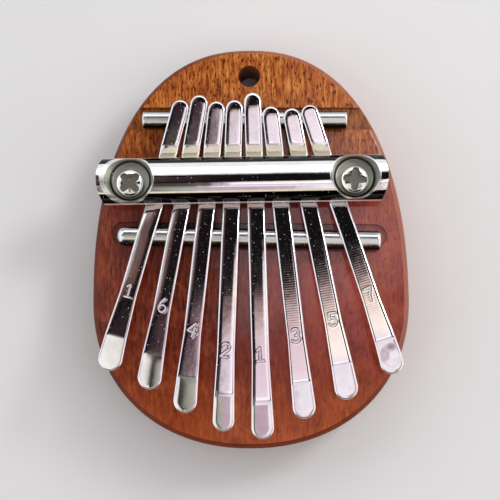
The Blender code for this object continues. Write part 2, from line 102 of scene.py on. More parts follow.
SCREW_X = tuple(sum(end.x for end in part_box(node)) / 2 for node in ("screw_left", "screw_right"))
SCREW_Y = 12.3 * MM
HEAD_SEAT_Z = 14.8 * MM
HEAD_RADIUS = 2.8 * MM
HEAD_RIM = 0.9 * MM
HEAD_DOME = 1.0 * MM
SHANK_RADIUS = 1.5 * MM
SHANK_LENGTH = 12.0 * MM
SCREW_HOLE_RADIUS = SHANK_RADIUS + 0.3 * MM

TINE_WIDTH = 3.55 * MM
TINE_THICKNESS = 0.9 * MM
TINE_FLARE_LENGTH = 13.0 * MM
TINE_TIP_LENGTH = 7.0 * MM
TINE_TIP_BEND = radians(14.0)
TINE_RISE = radians(6.0)
TAIL_Z = 14.05 * MM
CLAMP_Z = 12.75 * MM
BRIDGE_TINE_Z = 14.45 * MM
TAIL_ROW_X = -0.8 * MM

# Finer than in the solids: rounded edges, ends and corners
RIM_POWER = 1.5
BOARD_SOFTENING = 0.14 * MM
BAR_SOFTENING = 0.22 * MM
SCREW_SOFTENING = 0.07 * MM
BACKSTOP_ENDS = (0.45 * MM, 0.45 * MM)
BRIDGE_ENDS = (1.7 * MM, 0.8 * MM)
RECESS_FILLET = 0.7 * MM
HEAD_EDGE = 0.25 * MM
SHANK_POINT = 1.5 * MM
SHANK_NECK = 0.2 * MM
# The cross recess at its floor and over the head: height from the top, reach, half arm and corner
CROSS_LEVELS = ((-0.95, 2.25, 0.56, 0.70), (0.4, 3.0, 0.76, 0.95))

# Finer than in the solids: the tines' softer step and bends, and the form of their faces
STEP_RUN = 2.9 * MM
STEP_FROM_BAR = -0.3 * MM
STEP_TOP_BEND = 0.7 * MM
STEP_FOOT_BEND = 0.6 * MM
CLAMP_INSET = 0.2 * MM
CLAMP_BEND = 1.6 * MM
BRIDGE_BEND = 9.0 * MM
ROLL_STEEPNESS = 0.10
FALL_EASE = 0.9 * MM
FALL_END_FROM_TIP = 7.0 * MM
FALL_FADE = 5.0 * MM
CROWN_FADE = 1.5 * MM
DISH_RADIUS = 2.9 * MM
BOTTOM_EASE = 0.22 * MM
FIRST_MIDDLE_TINE, FIRST_RIGHT_TINE = 4, 6
# Two runs along a blade, at which points over the bridge rod are found
BLEND_RUNS = (-0.4 * MM, 6.0 * MM)

# Slope of a tine's top face by millimetres from its edge: corner, rim and shoulder
EDGE_RIM = ((0.0, 2.4), (0.04, 0.92), (0.24, 0.50))
LEFT_EDGE = ((0.0, 2.4), (0.04, 0.92), (0.21, 0.50), (0.32, 0.085), (0.90, 0.0))
PLAIN_EDGE = (*EDGE_RIM, (0.33, 0.04), (0.45, 0.0))
MIDDLE_EDGE = (*EDGE_RIM, (0.33, 0.050), (0.85, 0.035), (0.95, 0.0))
RIGHT_EDGE = (*EDGE_RIM, (0.34, 0.105), (0.62, 0.075), (0.74, 0.0))

# Points across a tine by half width, closer together at its edges, and rows of points along it
EDGE_SHARES = (0.0, 0.010, 0.024, 0.042, 0.075, 0.12, 0.17, 0.215, 0.25, 0.29)
INNER_SHARES = tuple(0.34 + (1 - 0.34) * index / 10 for index in range(11))
LEFT_COLUMNS = [share - 1 for share in EDGE_SHARES + INNER_SHARES]
TOP_COLUMNS = LEFT_COLUMNS + [-column for column in LEFT_COLUMNS[-2::-1]]
BOTTOM_COLUMNS = (1.0, 0.96, 0.88, 0.6, 0.0, -0.6, -0.88, -0.96, -1.0)
BODY_ROWS, END_ROWS, NUMERAL_ROWS, DISH_ROWS = 110, 12, 38, 43
DISH_ROW_GAP = 0.15 * MM
CLOSEST_ROWS = 0.015 * MM
# Length of one unit of a tine's flat coordinates
STRIP_UNIT = 10.0 * MM

# Facets round turned pieces and tools, unlike where two of them meet
ROD_FACETS, SCREW_FACETS, RECESS_FACETS, BAR_HOLE_FACETS, BOARD_HOLE_FACETS = 72, 71, 95, 63, 64
OUTLINE_POINTS, RIM_STEPS = 280, 12

# How far a cutting tool stands out of a piece, and how close together points count as one
OVER = 1.0 * MM
SAME_POINT = 0.0005 * MM
SLIVER = 0.001 * MM


def link(name, data):
    """Put data into the scene as an object."""
    made = bpy.data.objects.new(name, data)
    bpy.context.scene.collection.objects.link(made)
    return made


def piece_from(working, name):
    """Put a working bmesh into the scene, with outward faces."""
    bmesh.ops.remove_doubles(working, verts=working.verts, dist=SAME_POINT)
    bmesh.ops.recalc_face_normals(working, faces=working.faces)
    mesh = bpy.data.meshes.new(name)
    working.to_mesh(mesh)
    working.free()
    return link(name, mesh)


def join(working, rings, cap_last=True):
    """Join closed rings of equally many vertices into a skin with capped ends."""
    for lower, upper in zip(rings, rings[1:]):
        for index in range(len(lower)):
            following = (index + 1) % len(lower)
            working.faces.new((lower[index], lower[following], upper[following], upper[index]))
    working.faces.new(rings[0][::-1])
    if cap_last:
        working.faces.new(rings[-1])


def skin(name, rings, cap_last=True):
    """A piece with a skin over closed rings of points."""
    working = bmesh.new()
    join(working, [[working.verts.new(point) for point in ring] for ring in rings], cap_last)
    return piece_from(working, name)


def revolve(name, profile, facets):
    """Turn a profile of radius and height round the Z axis."""
    working = bmesh.new()
    columns = []
    for x, y in arc(0.0, 0.0, 1.0, 1.0, 0, 360, facets)[:-1]:
        columns.append([working.verts.new((r * x, r * y, z)) for r, z in profile])
    for here, there in zip(columns, columns[1:] + columns[:1]):
        for row in range(len(profile) - 1):
            working.faces.new((here[row], there[row], there[row + 1], here[row + 1]))
    bmesh.ops.remove_doubles(working, verts=working.verts, dist=SAME_POINT)
    bmesh.ops.dissolve_degenerate(working, edges=working.edges, dist=SAME_POINT)
    return piece_from(working, name)


def modify(piece, kind, **settings):
    """Apply a modifier to a piece's mesh."""
    step = piece.modifiers.new(kind, kind)
    for key, value in settings.items():
        setattr(step, key, value)
    graph = bpy.context.evaluated_depsgraph_get()
    graph.update()
    mesh = bpy.data.meshes.new_from_object(piece.evaluated_get(graph))
    piece.modifiers.clear()
    piece.data = mesh


def cut(piece, tool, operation="DIFFERENCE"):
    """Cut a piece with a tool and remove the tool."""
    modify(piece, "BOOLEAN", operation=operation, solver="EXACT", object=tool)
    bpy.data.objects.remove(tool, do_unlink=True)


def soften(piece, width, segments, angle):
    """Round the edges of a piece that are sharper than an angle."""
    limit = radians(angle)
    modify(piece, "BEVEL", width=width, segments=segments, limit_method="ANGLE", angle_limit=limit)


def clean(piece):
    """Close up slivers that a bevel left in a piece."""
    working = bmesh.new()
    working.from_mesh(piece.data)
    bmesh.ops.remove_doubles(working, verts=working.verts, dist=SLIVER)
    bmesh.ops.dissolve_degenerate(working, edges=working.edges, dist=SLIVER)
    working.to_mesh(piece.data)
    working.free()


def smooth(piece, angle):
    """Shade a piece smooth, up to an angle, with flat faces kept flat."""
    piece.data.shade_smooth()
    piece.data.set_sharp_from_angle(angle=radians(angle))
    modify(piece, "WEIGHTED_NORMAL", keep_sharp=True)


def dress(piece, material, slot, *nodes):
    """Give a piece its material, and let it stand for its solids. Its slot is not used."""
    piece.data.materials.clear()
    piece.data.materials.append(material)
    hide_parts(*nodes)


def clamp(share):
    """A share held between 0 and 1."""
    return min(max(share, 0.0), 1.0)


def arc(cx, cy, rx, ry, start, end, count=14):
    """Points along part of an ellipse, in degrees."""
    turns = [radians(start + (end - start) * index / count) for index in range(count + 1)]
    return [(cx + rx * cos(turn), cy + ry * sin(turn)) for turn in turns]


def egg_outline(count):
    """Points round the board."""
    points = []
    widest_y = BOARD_PLAY_END_REACH - (BOARD_PLAY_END_REACH + BOARD_HOLE_END_REACH) / 2
    for index in range(count):
        turn = 2 * pi * index / count
        across, along = cos(turn), sin(turn)
        fullness = HOLE_END_FULLNESS if along >= 0 else PLAY_END_FULLNESS
        reach = BOARD_HOLE_END_REACH if along >= 0 else BOARD_PLAY_END_REACH
        x = copysign(abs(across) ** (2 / fullness), across) * BOARD_WIDTH / 2
        y = copysign(abs(along) ** (2 / fullness), along) * reach
        points.append(Vector((x, widest_y + y)))
    return points


def even_outline(count):
    """Points round the board at even steps, with their outward normals."""
    points = egg_outline(4 * count)
    points.append(points[0])
    lengths = [0.0]
    for here, there in zip(points, points[1:]):
        lengths.append(lengths[-1] + (there - here).length)
    even = []
    for index in range(count):
        target = lengths[-1] * index / count
        place = max(bisect_left(lengths, target), 1)
        share = (target - lengths[place - 1]) / (lengths[place] - lengths[place - 1])
        even.append(points[place - 1].lerp(points[place], share))
    chords = [even[(index + 1) % count] - even[index - 1] for index in range(count)]
    return even, [Vector((chord.y, -chord.x)).normalized() for chord in chords]


def prism_tool(outline, low, high):
    """Tool with upright sides over an outline."""
    return skin("prism_tool", [[(x, y, z) for x, y in outline] for z in (low, high)])


def hole_tool(x, y, radius, low, high, facets):
    """Tool that cuts a round hole."""
    tool = revolve("hole_tool", [(0, low), (radius, low), (radius, high), (0, high)], facets)
    tool.location = (x, y, 0)
    return tool


def groove_tool():
    """Tool that cuts the groove for the backstop rod right across the board."""
    x, y = BOARD_WIDTH * 0.6, GROOVE_WIDTH / 2
    outline = [(-x, -y), (x, -y), (x, y), (-x, y)]
    tool = prism_tool(outline, BOARD_THICKNESS - GROOVE_DEPTH, BOARD_THICKNESS + OVER)
    tool.location = (0, GROOVE_Y, 0)
    tool.rotation_euler.z = BACKSTOP_SKEW
    return tool


def slot_tool():
    """Tool that cuts the slot with round ends for the bridge rod."""
    radius = SLOT_WIDTH / 2
    end = arc(SLOT_LENGTH / 2 - radius, 0.0, radius, radius, -90, 90, 24)
    outline = end + [(-x, -y) for x, y in end]
    tool = prism_tool(outline, BOARD_THICKNESS - SLOT_DEPTH, BOARD_THICKNESS + OVER)
    tool.location = (*SLOT_PLACE, 0)
    tool.rotation_euler.z = SLOT_SKEW
    return tool


def make_board():
    """The board with its eased rim, groove, slot, ring hole and pilot holes."""
    points, normals = even_outline(OUTLINE_POINTS)
    rings = []
    for lower in (True, False):
        for index in range(RIM_STEPS + 1):
            turn = pi / 2 * (index if lower else RIM_STEPS - index) / RIM_STEPS
            inset = BOARD_EDGE * (1 - sin(turn) ** RIM_POWER)
            rise = BOARD_EDGE * (1 - cos(turn) ** RIM_POWER)
            height = rise if lower else BOARD_THICKNESS - rise
            rings.append([(*(p - n * inset), height) for p, n in zip(points, normals)])
    board = skin("board_wood", rings)
    cut(board, groove_tool())
    cut(board, slot_tool())
    holes = [(*RING_HOLE, RING_HOLE_RADIUS, -OVER)]
    holes += [(x, SCREW_Y, SCREW_HOLE_RADIUS, PILOT_FLOOR_Z) for x in SCREW_X]
    for hole in holes:
        cut(board, hole_tool(*hole, BOARD_THICKNESS + OVER, BOARD_HOLE_FACETS))
    soften(board, BOARD_SOFTENING, 2, 50.0)
    clean(board)
    smooth(board, 50.0)
    return board


def make_rod(name, radius, length, place, skew, ends):
    """A rod across the board, with its left and right ends rounded."""
    (left, right), half = ends, length / 2
    profile = [(0.0, -half), *arc(radius - left, left - half, left, left, -90, 0, 8)]
    profile += [*arc(radius - right, half - right, right, right, 0, 90, 8), (0.0, half)]
    rod = revolve(name, profile, ROD_FACETS)
    turn = Matrix.Rotation(skew, 4, "Z") @ Matrix.Rotation(pi / 2, 4, "Y")
    rod.data.transform(Matrix.Translation(place) @ turn)
    smooth(rod, 50.0)
    return rod


def bar_plan(left, right):
    """Outline of the bar from above, with bowed ends."""
    plan = []
    spread = degrees(asin((BAR_WIDTH / 2 + OVER) / BAR_END_RADIUS))
    for radius, end in ((BAR_END_RADIUS, right), (-BAR_END_RADIUS, left)):
        plan += arc(end - radius, BAR_Y, radius, radius, -spread, spread, 29)
    return plan


def recess_tool(x):
    """Tool that cuts the tapered recess round a screw head, with a fillet at its foot."""
    middle = RECESS_FLOOR_RADIUS - RECESS_FILLET, RECESS_FLOOR_Z + RECESS_FILLET
    profile = [(0.0, RECESS_FLOOR_Z), *arc(*middle, RECESS_FILLET, RECESS_FILLET, -90, 0, 6)]
    top = BAR_TOP + OVER
    profile += [(RECESS_FLOOR_RADIUS + RECESS_TAPER * (top - RECESS_FLOOR_Z), top), (0.0, top)]
    tool = revolve("recess_tool", profile, RECESS_FACETS)
    tool.location = (x, BAR_Y, 0)
    return tool


def make_bar():
    """The half-round bar with bowed ends, tapered recesses and screw holes."""
    half = BAR_WIDTH / 2
    section = [(-half, 0.0), (half, 0.0)]
    section += arc(0.0, BAR_LIP, half, BAR_HEIGHT - BAR_LIP, 0, 180, 48)
    left, right = SCREW_X[0] - BAR_PAST_SCREW, SCREW_X[1] + BAR_PAST_SCREW
    ends = (left - OVER, right + OVER)
    rings = [[(x, BAR_Y + y, BAR_Z + z) for y, z in section] for x in ends]
    bar = skin("pressure_bar_chrome", rings)
    cut(bar, prism_tool(bar_plan(left, right), BAR_Z - OVER, BAR_TOP + OVER), "INTERSECT")
    for x in SCREW_X:
        cut(bar, recess_tool(x))
        hole = (x, SCREW_Y, SCREW_HOLE_RADIUS, BAR_Z - OVER, RECESS_FLOOR_Z + OVER)
        cut(bar, hole_tool(*hole, BAR_HOLE_FACETS))
    soften(bar, BAR_SOFTENING, 3, 42.0)
    smooth(bar, 38.0)
    return bar


def cross_tool(turn):
    """Tapered tool that cuts the cross recess of a screw head, with round ends to its arms."""
    rings = []
    for level in CROSS_LEVELS:
        above_top, reach, arm, corner = (size * MM for size in level)
        points = arc(reach - arm, 0.0, arm, arm, -90, 90, 8) + [(corner, corner)]
        height = HEAD_RIM + HEAD_DOME + above_top
        spins = [Matrix.Rotation(turn + quarter * pi / 2, 2) for quarter in range(4)]
        rings.append([(*(spin @ Vector(point)), height) for spin in spins for point in points])
    return skin("cross_tool", rings)


def make_screw(name, x, turn):
    """A pan-head screw with a cross recess, its shank down in the board."""
    profile = [(0.0, -SHANK_LENGTH), (SHANK_RADIUS, SHANK_POINT - SHANK_LENGTH)]
    profile += [(SHANK_RADIUS, -SHANK_NECK), (SHANK_RADIUS, 0.0)]
    profile += arc(HEAD_RADIUS - HEAD_EDGE, HEAD_EDGE, HEAD_EDGE, HEAD_EDGE, -90, 0, 4)
    profile += arc(0.0, HEAD_RIM, HEAD_RADIUS, HEAD_DOME, 0, 90, 18)
    screw = revolve(name, profile, SCREW_FACETS)
    cut(screw, cross_tool(turn))
    soften(screw, SCREW_SOFTENING, 2, 40.0)
    clean(screw)
    screw.data.transform(Matrix.Translation((x, SCREW_Y, HEAD_SEAT_Z)))
    smooth(screw, 40.0)
    return screw


def round_bends(corners):
    """Replace each inner corner of a side view, in run and height, by an arc of its own radius."""
    path = [Vector(corners[0][:2])]
    for before, here, after in zip(corners, corners[1:], corners[2:]):
        corner = Vector(here[:2])
        back = (Vector(before[:2]) - corner).normalized()
        ahead = (Vector(after[:2]) - corner).normalized()
        setback = here[2] * tan((pi - back.angle(ahead)) / 2)
        start, end = corner + back * setback, corner + ahead * setback
        for index in range(9):
            share = index / 8
            path.append(start.lerp(corner, share).lerp(corner.lerp(end, share), share))
    path.append(Vector(corners[-1][:2]))
    return path


def path_normals(path):
    """Unit normal at each point of a side view, the mean of the stretches that meet there."""
    slopes = [(high - low).normalized() for low, high in zip(path, path[1:])]
    means = [(before + after).normalized() for before, after in zip(slopes, slopes[1:])]
    return [Vector((-slope.y, slope.x)) for slope in (slopes[0], *means, slopes[-1])]


# Strokes of the stamped numerals about their middle, and the length of their unit
NUMERALS = {
    "1": (((-0.55, 0.85), (0.05, 1.4), (0.0, -1.35)), ((-0.7, -1.38), (0.7, -1.38))),
    "2": (arc(0.0, 0.62, 0.78, 0.8, 165, -38) + [(-0.8, -1.38)], ((-0.8, -1.38), (0.85, -1.38))),
    "3": (arc(-0.05, 0.72, 0.72, 0.7, 150, -80), arc(-0.05, -0.68, 0.82, 0.74, 85, -150)),
    "4": (((0.25, 1.45), (-0.9, -0.5), (0.95, -0.5)), ((0.4, 0.45), (0.4, -1.45))),
    "5": (((0.72, 1.42), (-0.55, 1.42), (-0.66, 0.2)), arc(-0.05, -0.45, 0.82, 0.85, 135, -150)),
    "6": (((0.5, 1.5), (-0.3, 0.7), (-0.74, -0.4)), arc(0.02, -0.62, 0.76, 0.76, 0, 360, 24)),
    "7": (((-0.8, 1.38), (0.8, 1.38)), ((0.8, 1.38), (0.1, 0.1), (-0.2, -1.42))),
}
NUMERAL_UNIT = 0.94 * MM
# Half length of the stretch of a blade that a numeral takes up
NUMERAL_REACH = 1.9 * MM
# A stroke's groove, raised lip and dull floor, in units across and metres up
STROKE_HALF_WIDTH, STROKE_DEPTH = 0.17, 0.05 * MM
LIP_HALF_WIDTH, LIP_HEIGHT = 0.08, 0.012 * MM
DULL_HALF_WIDTH, DULL_FADE = 0.225, 0.12
NO_STROKE = 9.0


def stroke_distance(strokes, x, y):
    """Distance from a point to the nearest stroke, in the numerals' unit."""
    best = NO_STROKE
    for stroke in strokes:
        for (ax, ay), (bx, by) in zip(stroke, stroke[1:]):
            dx, dy = bx - ax, by - ay
            share = clamp(((x - ax) * dx + (y - ay) * dy) / (dx * dx + dy * dy))
            best = min(best, hypot(x - ax - share * dx, y - ay - share * dy))
    return best


def stamp_height(distance):
    """Height of the surface by a stamped stroke: a round groove with a low raised lip."""
    if distance < STROKE_HALF_WIDTH:
        return -STROKE_DEPTH * cos(pi / 2 * distance / STROKE_HALF_WIDTH) ** 2
    lip = (distance - STROKE_HALF_WIDTH - LIP_HALF_WIDTH) / LIP_HALF_WIDTH
    return LIP_HEIGHT * exp(-lip * lip)


def edge_drop(slopes, distance):
    """How far a tine's top face has fallen at a distance from the edge."""
    drop = 0.0
    for (outer, outer_slope), (inner, inner_slope) in zip(slopes, slopes[1:]):
        outer, inner = outer * MM, inner * MM
        if distance < inner:
            start = max(distance, outer)
            share = (start - outer) / (inner - outer)
            slope_here = outer_slope + share * (inner_slope - outer_slope)
            drop += (inner - start) * (slope_here + inner_slope) / 2
    return drop


def edge_slopes(number, on_right):
    """Slopes along one side of a tine's blade."""
    if number >= FIRST_RIGHT_TINE:
        return RIGHT_EDGE if on_right else PLAIN_EDGE
    if on_right:
        return MIDDLE_EDGE if number >= FIRST_MIDDLE_TINE else PLAIN_EDGE
    return LEFT_EDGE


def eased(distance, ease):
    """How far a face has fallen at a distance from its rounded edge."""
    gap = ease - clamp(distance / ease) * ease
    return ease - sqrt(max(ease * ease - gap * gap, 0.0))


def merge_runs(runs):
    """Sorted runs, with those that are too close to the one before left out."""
    kept = []
    for run in sorted(runs):
        if not kept or run - kept[-1] > CLOSEST_ROWS:
            kept.append(run)
    return kept


class Tine:
    """Form of a tine, by x across it and by run along it from the bridge rod towards the tip.

    It is given in millimetres and degrees. The fan turns the blade to the right, the gap is to the
    next tail, tip_bend is the radius of the bend before the tip, roll_off the length of the rolled
    tail end and tint a painted tone of the blade's reflection. The blade falls to the left from
    x = fall_from on.
    """

    def __init__(self, fan, blade, tail, gap, tip_width, numeral, from_tip, tilt, tip_bend,
                 roll_off, tint, crown, fall=0.0, fall_from=0.0, dish=0.0, dish_from_end=0.0,
                 dish_x=0.0):
        self.fan, self.blade, self.tail, self.gap = radians(fan), blade * MM, tail * MM, gap * MM
        self.half, self.tip_half, self.tip_bend = TINE_WIDTH / 2, tip_width * MM / 2, tip_bend * MM
        self.strokes, self.tilt = NUMERALS[numeral], radians(tilt)
        self.numeral_run = self.blade - from_tip * MM
        self.roll_off, self.tint, self.crown = roll_off * MM, tint, crown
        self.fall, self.fall_from = fall, fall_from * MM
        self.dish, self.dish_from_end, self.dish_x = dish * MM, dish_from_end * MM, dish_x * MM

    def lay(self, number, tail_x):
        """Place the tine in the row and bend it over the rods and under the bar."""
        self.number, self.lean = number, tan(self.fan)
        skew = tan(BRIDGE_SKEW)
        back = BACKSTOP_PLACE.y - BRIDGE_PLACE.y - skew * (tail_x - BRIDGE_PLACE.x)
        back /= 1 + skew * self.lean
        self.crossing = Vector((tail_x + back * self.lean, BACKSTOP_PLACE.y - back))
        far_side = BAR_Y + BAR_WIDTH / 2 + STEP_FROM_BAR
        near_side = BAR_Y - BAR_WIDTH / 2 + CLAMP_INSET
        places = (far_side + STEP_RUN, far_side, near_side)
        step_top, self.step_foot, self.clamp_end = (
            (self.crossing.y - y) / cos(self.fan) for y in places)
        self.tip_start = self.blade - TINE_TIP_LENGTH
        tip_start_z = BRIDGE_TINE_Z + self.tip_start * tan(TINE_RISE)
        self.path = round_bends((
            (-self.tail, TAIL_Z),
            (step_top, TAIL_Z, STEP_TOP_BEND),
            (self.step_foot, CLAMP_Z, STEP_FOOT_BEND),
            (self.clamp_end, CLAMP_Z, CLAMP_BEND),
            (0.0, BRIDGE_TINE_Z, BRIDGE_BEND),
            (self.tip_start, tip_start_z, self.tip_bend),
            (self.blade, tip_start_z + TINE_TIP_LENGTH * tan(TINE_RISE - TINE_TIP_BEND)),
        ))
        self.path_runs = [point.x for point in self.path]
        self.normals = path_normals(self.path)

    def over_bridge(self, run):
        """Point on the middle line, at its height over the bridge rod."""
        x = self.crossing.x + run * sin(self.fan)
        return x, self.crossing.y - run * cos(self.fan), BRIDGE_TINE_Z

    def rows(self):
        """Runs of the rows of points, closer together at the ends, the bends and the numeral."""
        runs = self.path_runs[1:-1]
        for index in range(END_ROWS + 1):
            ease = 1 - cos(pi / 2 * index / END_ROWS)
            runs += [self.blade - self.tip_half * ease, self.half * ease - self.tail]
        start, end = self.half - self.tail, self.blade - self.tip_half
        runs += [start + (end - start) * index / BODY_ROWS for index in range(1, BODY_ROWS)]
        if self.dish:
            runs += [self.blade - index * DISH_ROW_GAP for index in range(1, DISH_ROWS + 1)]
        runs = [run for run in runs if -self.tail < run < self.blade and not self.in_numeral(run)]
        for index in range(NUMERAL_ROWS + 1):
            runs.append(self.numeral_run + (2 * index / NUMERAL_ROWS - 1) * NUMERAL_REACH)
        return [-self.tail, *merge_runs(runs), self.blade]

    def in_numeral(self, run):
        """Whether a run is in the stretch that the numeral takes up."""
        return abs(run - self.numeral_run) <= NUMERAL_REACH

    def round_end(self, run):
        """Radius of the round end that a run lies in, if any, and how far it is from its centre."""
        for radius, from_end in ((self.tip_half, self.blade - run), (self.half, run + self.tail)):
            if from_end < radius:
                return radius, radius - max(from_end, 0.0)
        return 0.0, 0.0

    def half_width(self, run):
        """Half the width at a run: a flare towards the tip, and two round ends."""
        radius, off_centre = self.round_end(run)
        if radius:
            return sqrt(max(radius ** 2 - off_centre ** 2, 0.0))
        flare_start = self.blade - self.tip_half - TINE_FLARE_LENGTH
        share = clamp((run - flare_start) / TINE_FLARE_LENGTH)
        return self.half + share * (self.tip_half - self.half)

    def edge_distance(self, x, run):
        """Distance from the edge."""
        radius, off_centre = self.round_end(run)
        return radius - hypot(x, off_centre) if radius else self.half_width(run) - abs(x)

    def from_stroke(self, x, run):
        """Distance from the numeral's nearest stroke, in the numerals' unit."""
        if not self.in_numeral(run):
            return NO_STROKE
        u, v = x / NUMERAL_UNIT, (self.numeral_run - run) / NUMERAL_UNIT
        u, v = u * cos(self.tilt) + v * sin(self.tilt), v * cos(self.tilt) - u * sin(self.tilt)
        return stroke_distance(self.strokes, u, v)

    def face_drop(self, x, run):
        """Drop of the top face: rolled tail end, fall to the left, and crowned or dished tip."""
        corner = self.half - sqrt(self.half ** 2 - min(abs(x), 0.92 * self.half) ** 2)
        rolled = max(self.roll_off - run - self.tail + corner, 0.0)
        into_fall = max(self.fall_from - x, 0.0)
        eased_fall = min(into_fall, FALL_EASE)
        fallen = eased_fall ** 2 / (2 * FALL_EASE) + into_fall - eased_fall
        on_blade = clamp((run - self.step_foot) / (self.clamp_end - self.step_foot))
        on_blade *= clamp((self.tip_start - FALL_END_FROM_TIP - run) / FALL_FADE)
        on_tip = clamp((run - self.tip_start) / CROWN_FADE)
        from_dish = hypot(x - self.dish_x, run - self.blade + self.dish_from_end) / DISH_RADIUS
        return (
            ROLL_STEEPNESS * rolled ** 3 / self.roll_off ** 2 + on_blade * self.fall * fallen
            + on_tip * self.crown * x * x + self.dish * max(1 - from_dish * from_dish, 0.0) ** 2)

    def top(self, x, run):
        """Height of the top face over the middle of the strip, and how dull it is stamped."""
        slopes = edge_slopes(self.number, x > 0) if run > self.step_foot else LEFT_EDGE
        distance = self.from_stroke(x, run)
        drop = edge_drop(slopes, self.edge_distance(x, run)) + self.face_drop(x, run)
        dull = clamp((DULL_HALF_WIDTH - distance) / DULL_FADE)
        return TINE_THICKNESS / 2 - drop + stamp_height(distance), dull

    def bottom(self, x, run):
        """Height of the bottom face over the middle of the strip."""
        return eased(self.edge_distance(x, run), BOTTOM_EASE) - TINE_THICKNESS / 2

    def place(self, x, run, lift):
        """Point of the strip, with bends in line with bar and rods, or square to the blade."""
        bent_run = run - x * self.lean * clamp(run / self.clamp_end)
        index = min(max(bisect_left(self.path_runs, bent_run), 1), len(self.path) - 1)
        low, high = self.path[index - 1], self.path[index]
        share = clamp((bent_run - low.x) / (high.x - low.x))
        normal = self.normals[index - 1].lerp(self.normals[index], share).normalized()
        run += normal.x * lift
        return Vector((
            self.crossing.x + x * cos(self.fan) + run * sin(self.fan),
            self.crossing.y + x * sin(self.fan) - run * cos(self.fan),
            low.y + share * (high.y - low.y) + normal.y * lift,
        ))


TINES = (
    Tine(-15.3, 28.3, 28.9, 0.39, 4.9, "1", 16.3, 2.0, 1.2, 1.5, (0.78, 0.72, 0.70), 0.0,
         0.10, 1.0),
    Tine(-10.2, 31.4, 29.55, 0.35, 4.85, "6", 16.7, 4.0, 1.2, 1.9, (0.72, 0.64, 0.68), 12.0,
         0.10, -0.15),
    Tine(-6.3, 35.6, 28.1, 0.28, 4.7, "4", 16.3, -16.0, 1.6, 2.05, (0.72, 0.62, 0.65), 5.0,
         0.10, -0.65),
    Tine(-2.5, 38.9, 28.4, 0.35, 4.3, "2", 15.7, -8.0, 7.0, 2.6, (0.80, 0.74, 0.79), 6.0),
    Tine(1.0, 40.3, 30.1, 0.14, 4.45, "1", 16.3, 3.0, 9.0, 3.7, (0.75, 0.64, 0.68), 3.0),
    Tine(5.4, 36.4, 27.4, 0.73, 4.55, "3", 16.2, -2.0, 5.0, 2.3, (0.79, 0.67, 0.67), 2.0),
    Tine(9.9, 32.9, 27.4, 0.31, 4.7, "5", 15.8, -4.0, 4.0, 2.2, (1.0, 0.95, 0.82), 2.0),
    Tine(16.5, 28.4, 29.0, 0.0, 4.75, "7", 16.3, 6.0, 4.0, 1.2, (1.0, 0.95, 0.82), 2.0,
         dish=0.14, dish_from_end=3.7, dish_x=0.5),
)


def make_tine(tine):
    """One tine as a single bent strip with rounded edges and a stamped numeral."""
    working = bmesh.new()
    uv_layer = working.loops.layers.uv.new("strip")
    stamp_layer = working.verts.layers.float.new("stamp")
    flat = {}

    def add_vert(x, run, lift, stamp=0.0):
        vert = working.verts.new(tine.place(x, run, lift))
        vert[stamp_layer] = stamp
        flat[vert] = (x / STRIP_UNIT, (run - tine.blade) / STRIP_UNIT)
        return vert

    rings = []
    for run in tine.rows():
        wide = tine.half_width(run)
        ring = [add_vert(x, run, *tine.top(x, run)) for x in (part * wide for part in TOP_COLUMNS)]
        for part in BOTTOM_COLUMNS:
            ring.append(add_vert(part * wide, run, tine.bottom(part * wide, run)))
        rings.append(ring)
    join(working, rings)
    for face in working.faces:
        for loop in face.loops:
            loop[uv_layer].uv = flat[loop.vert]
    strip = piece_from(working, f"tine_{tine.number}_steel")
    strip.data.shade_smooth()
    strip.data.set_sharp_from_angle(angle=radians(60.0))
    return strip


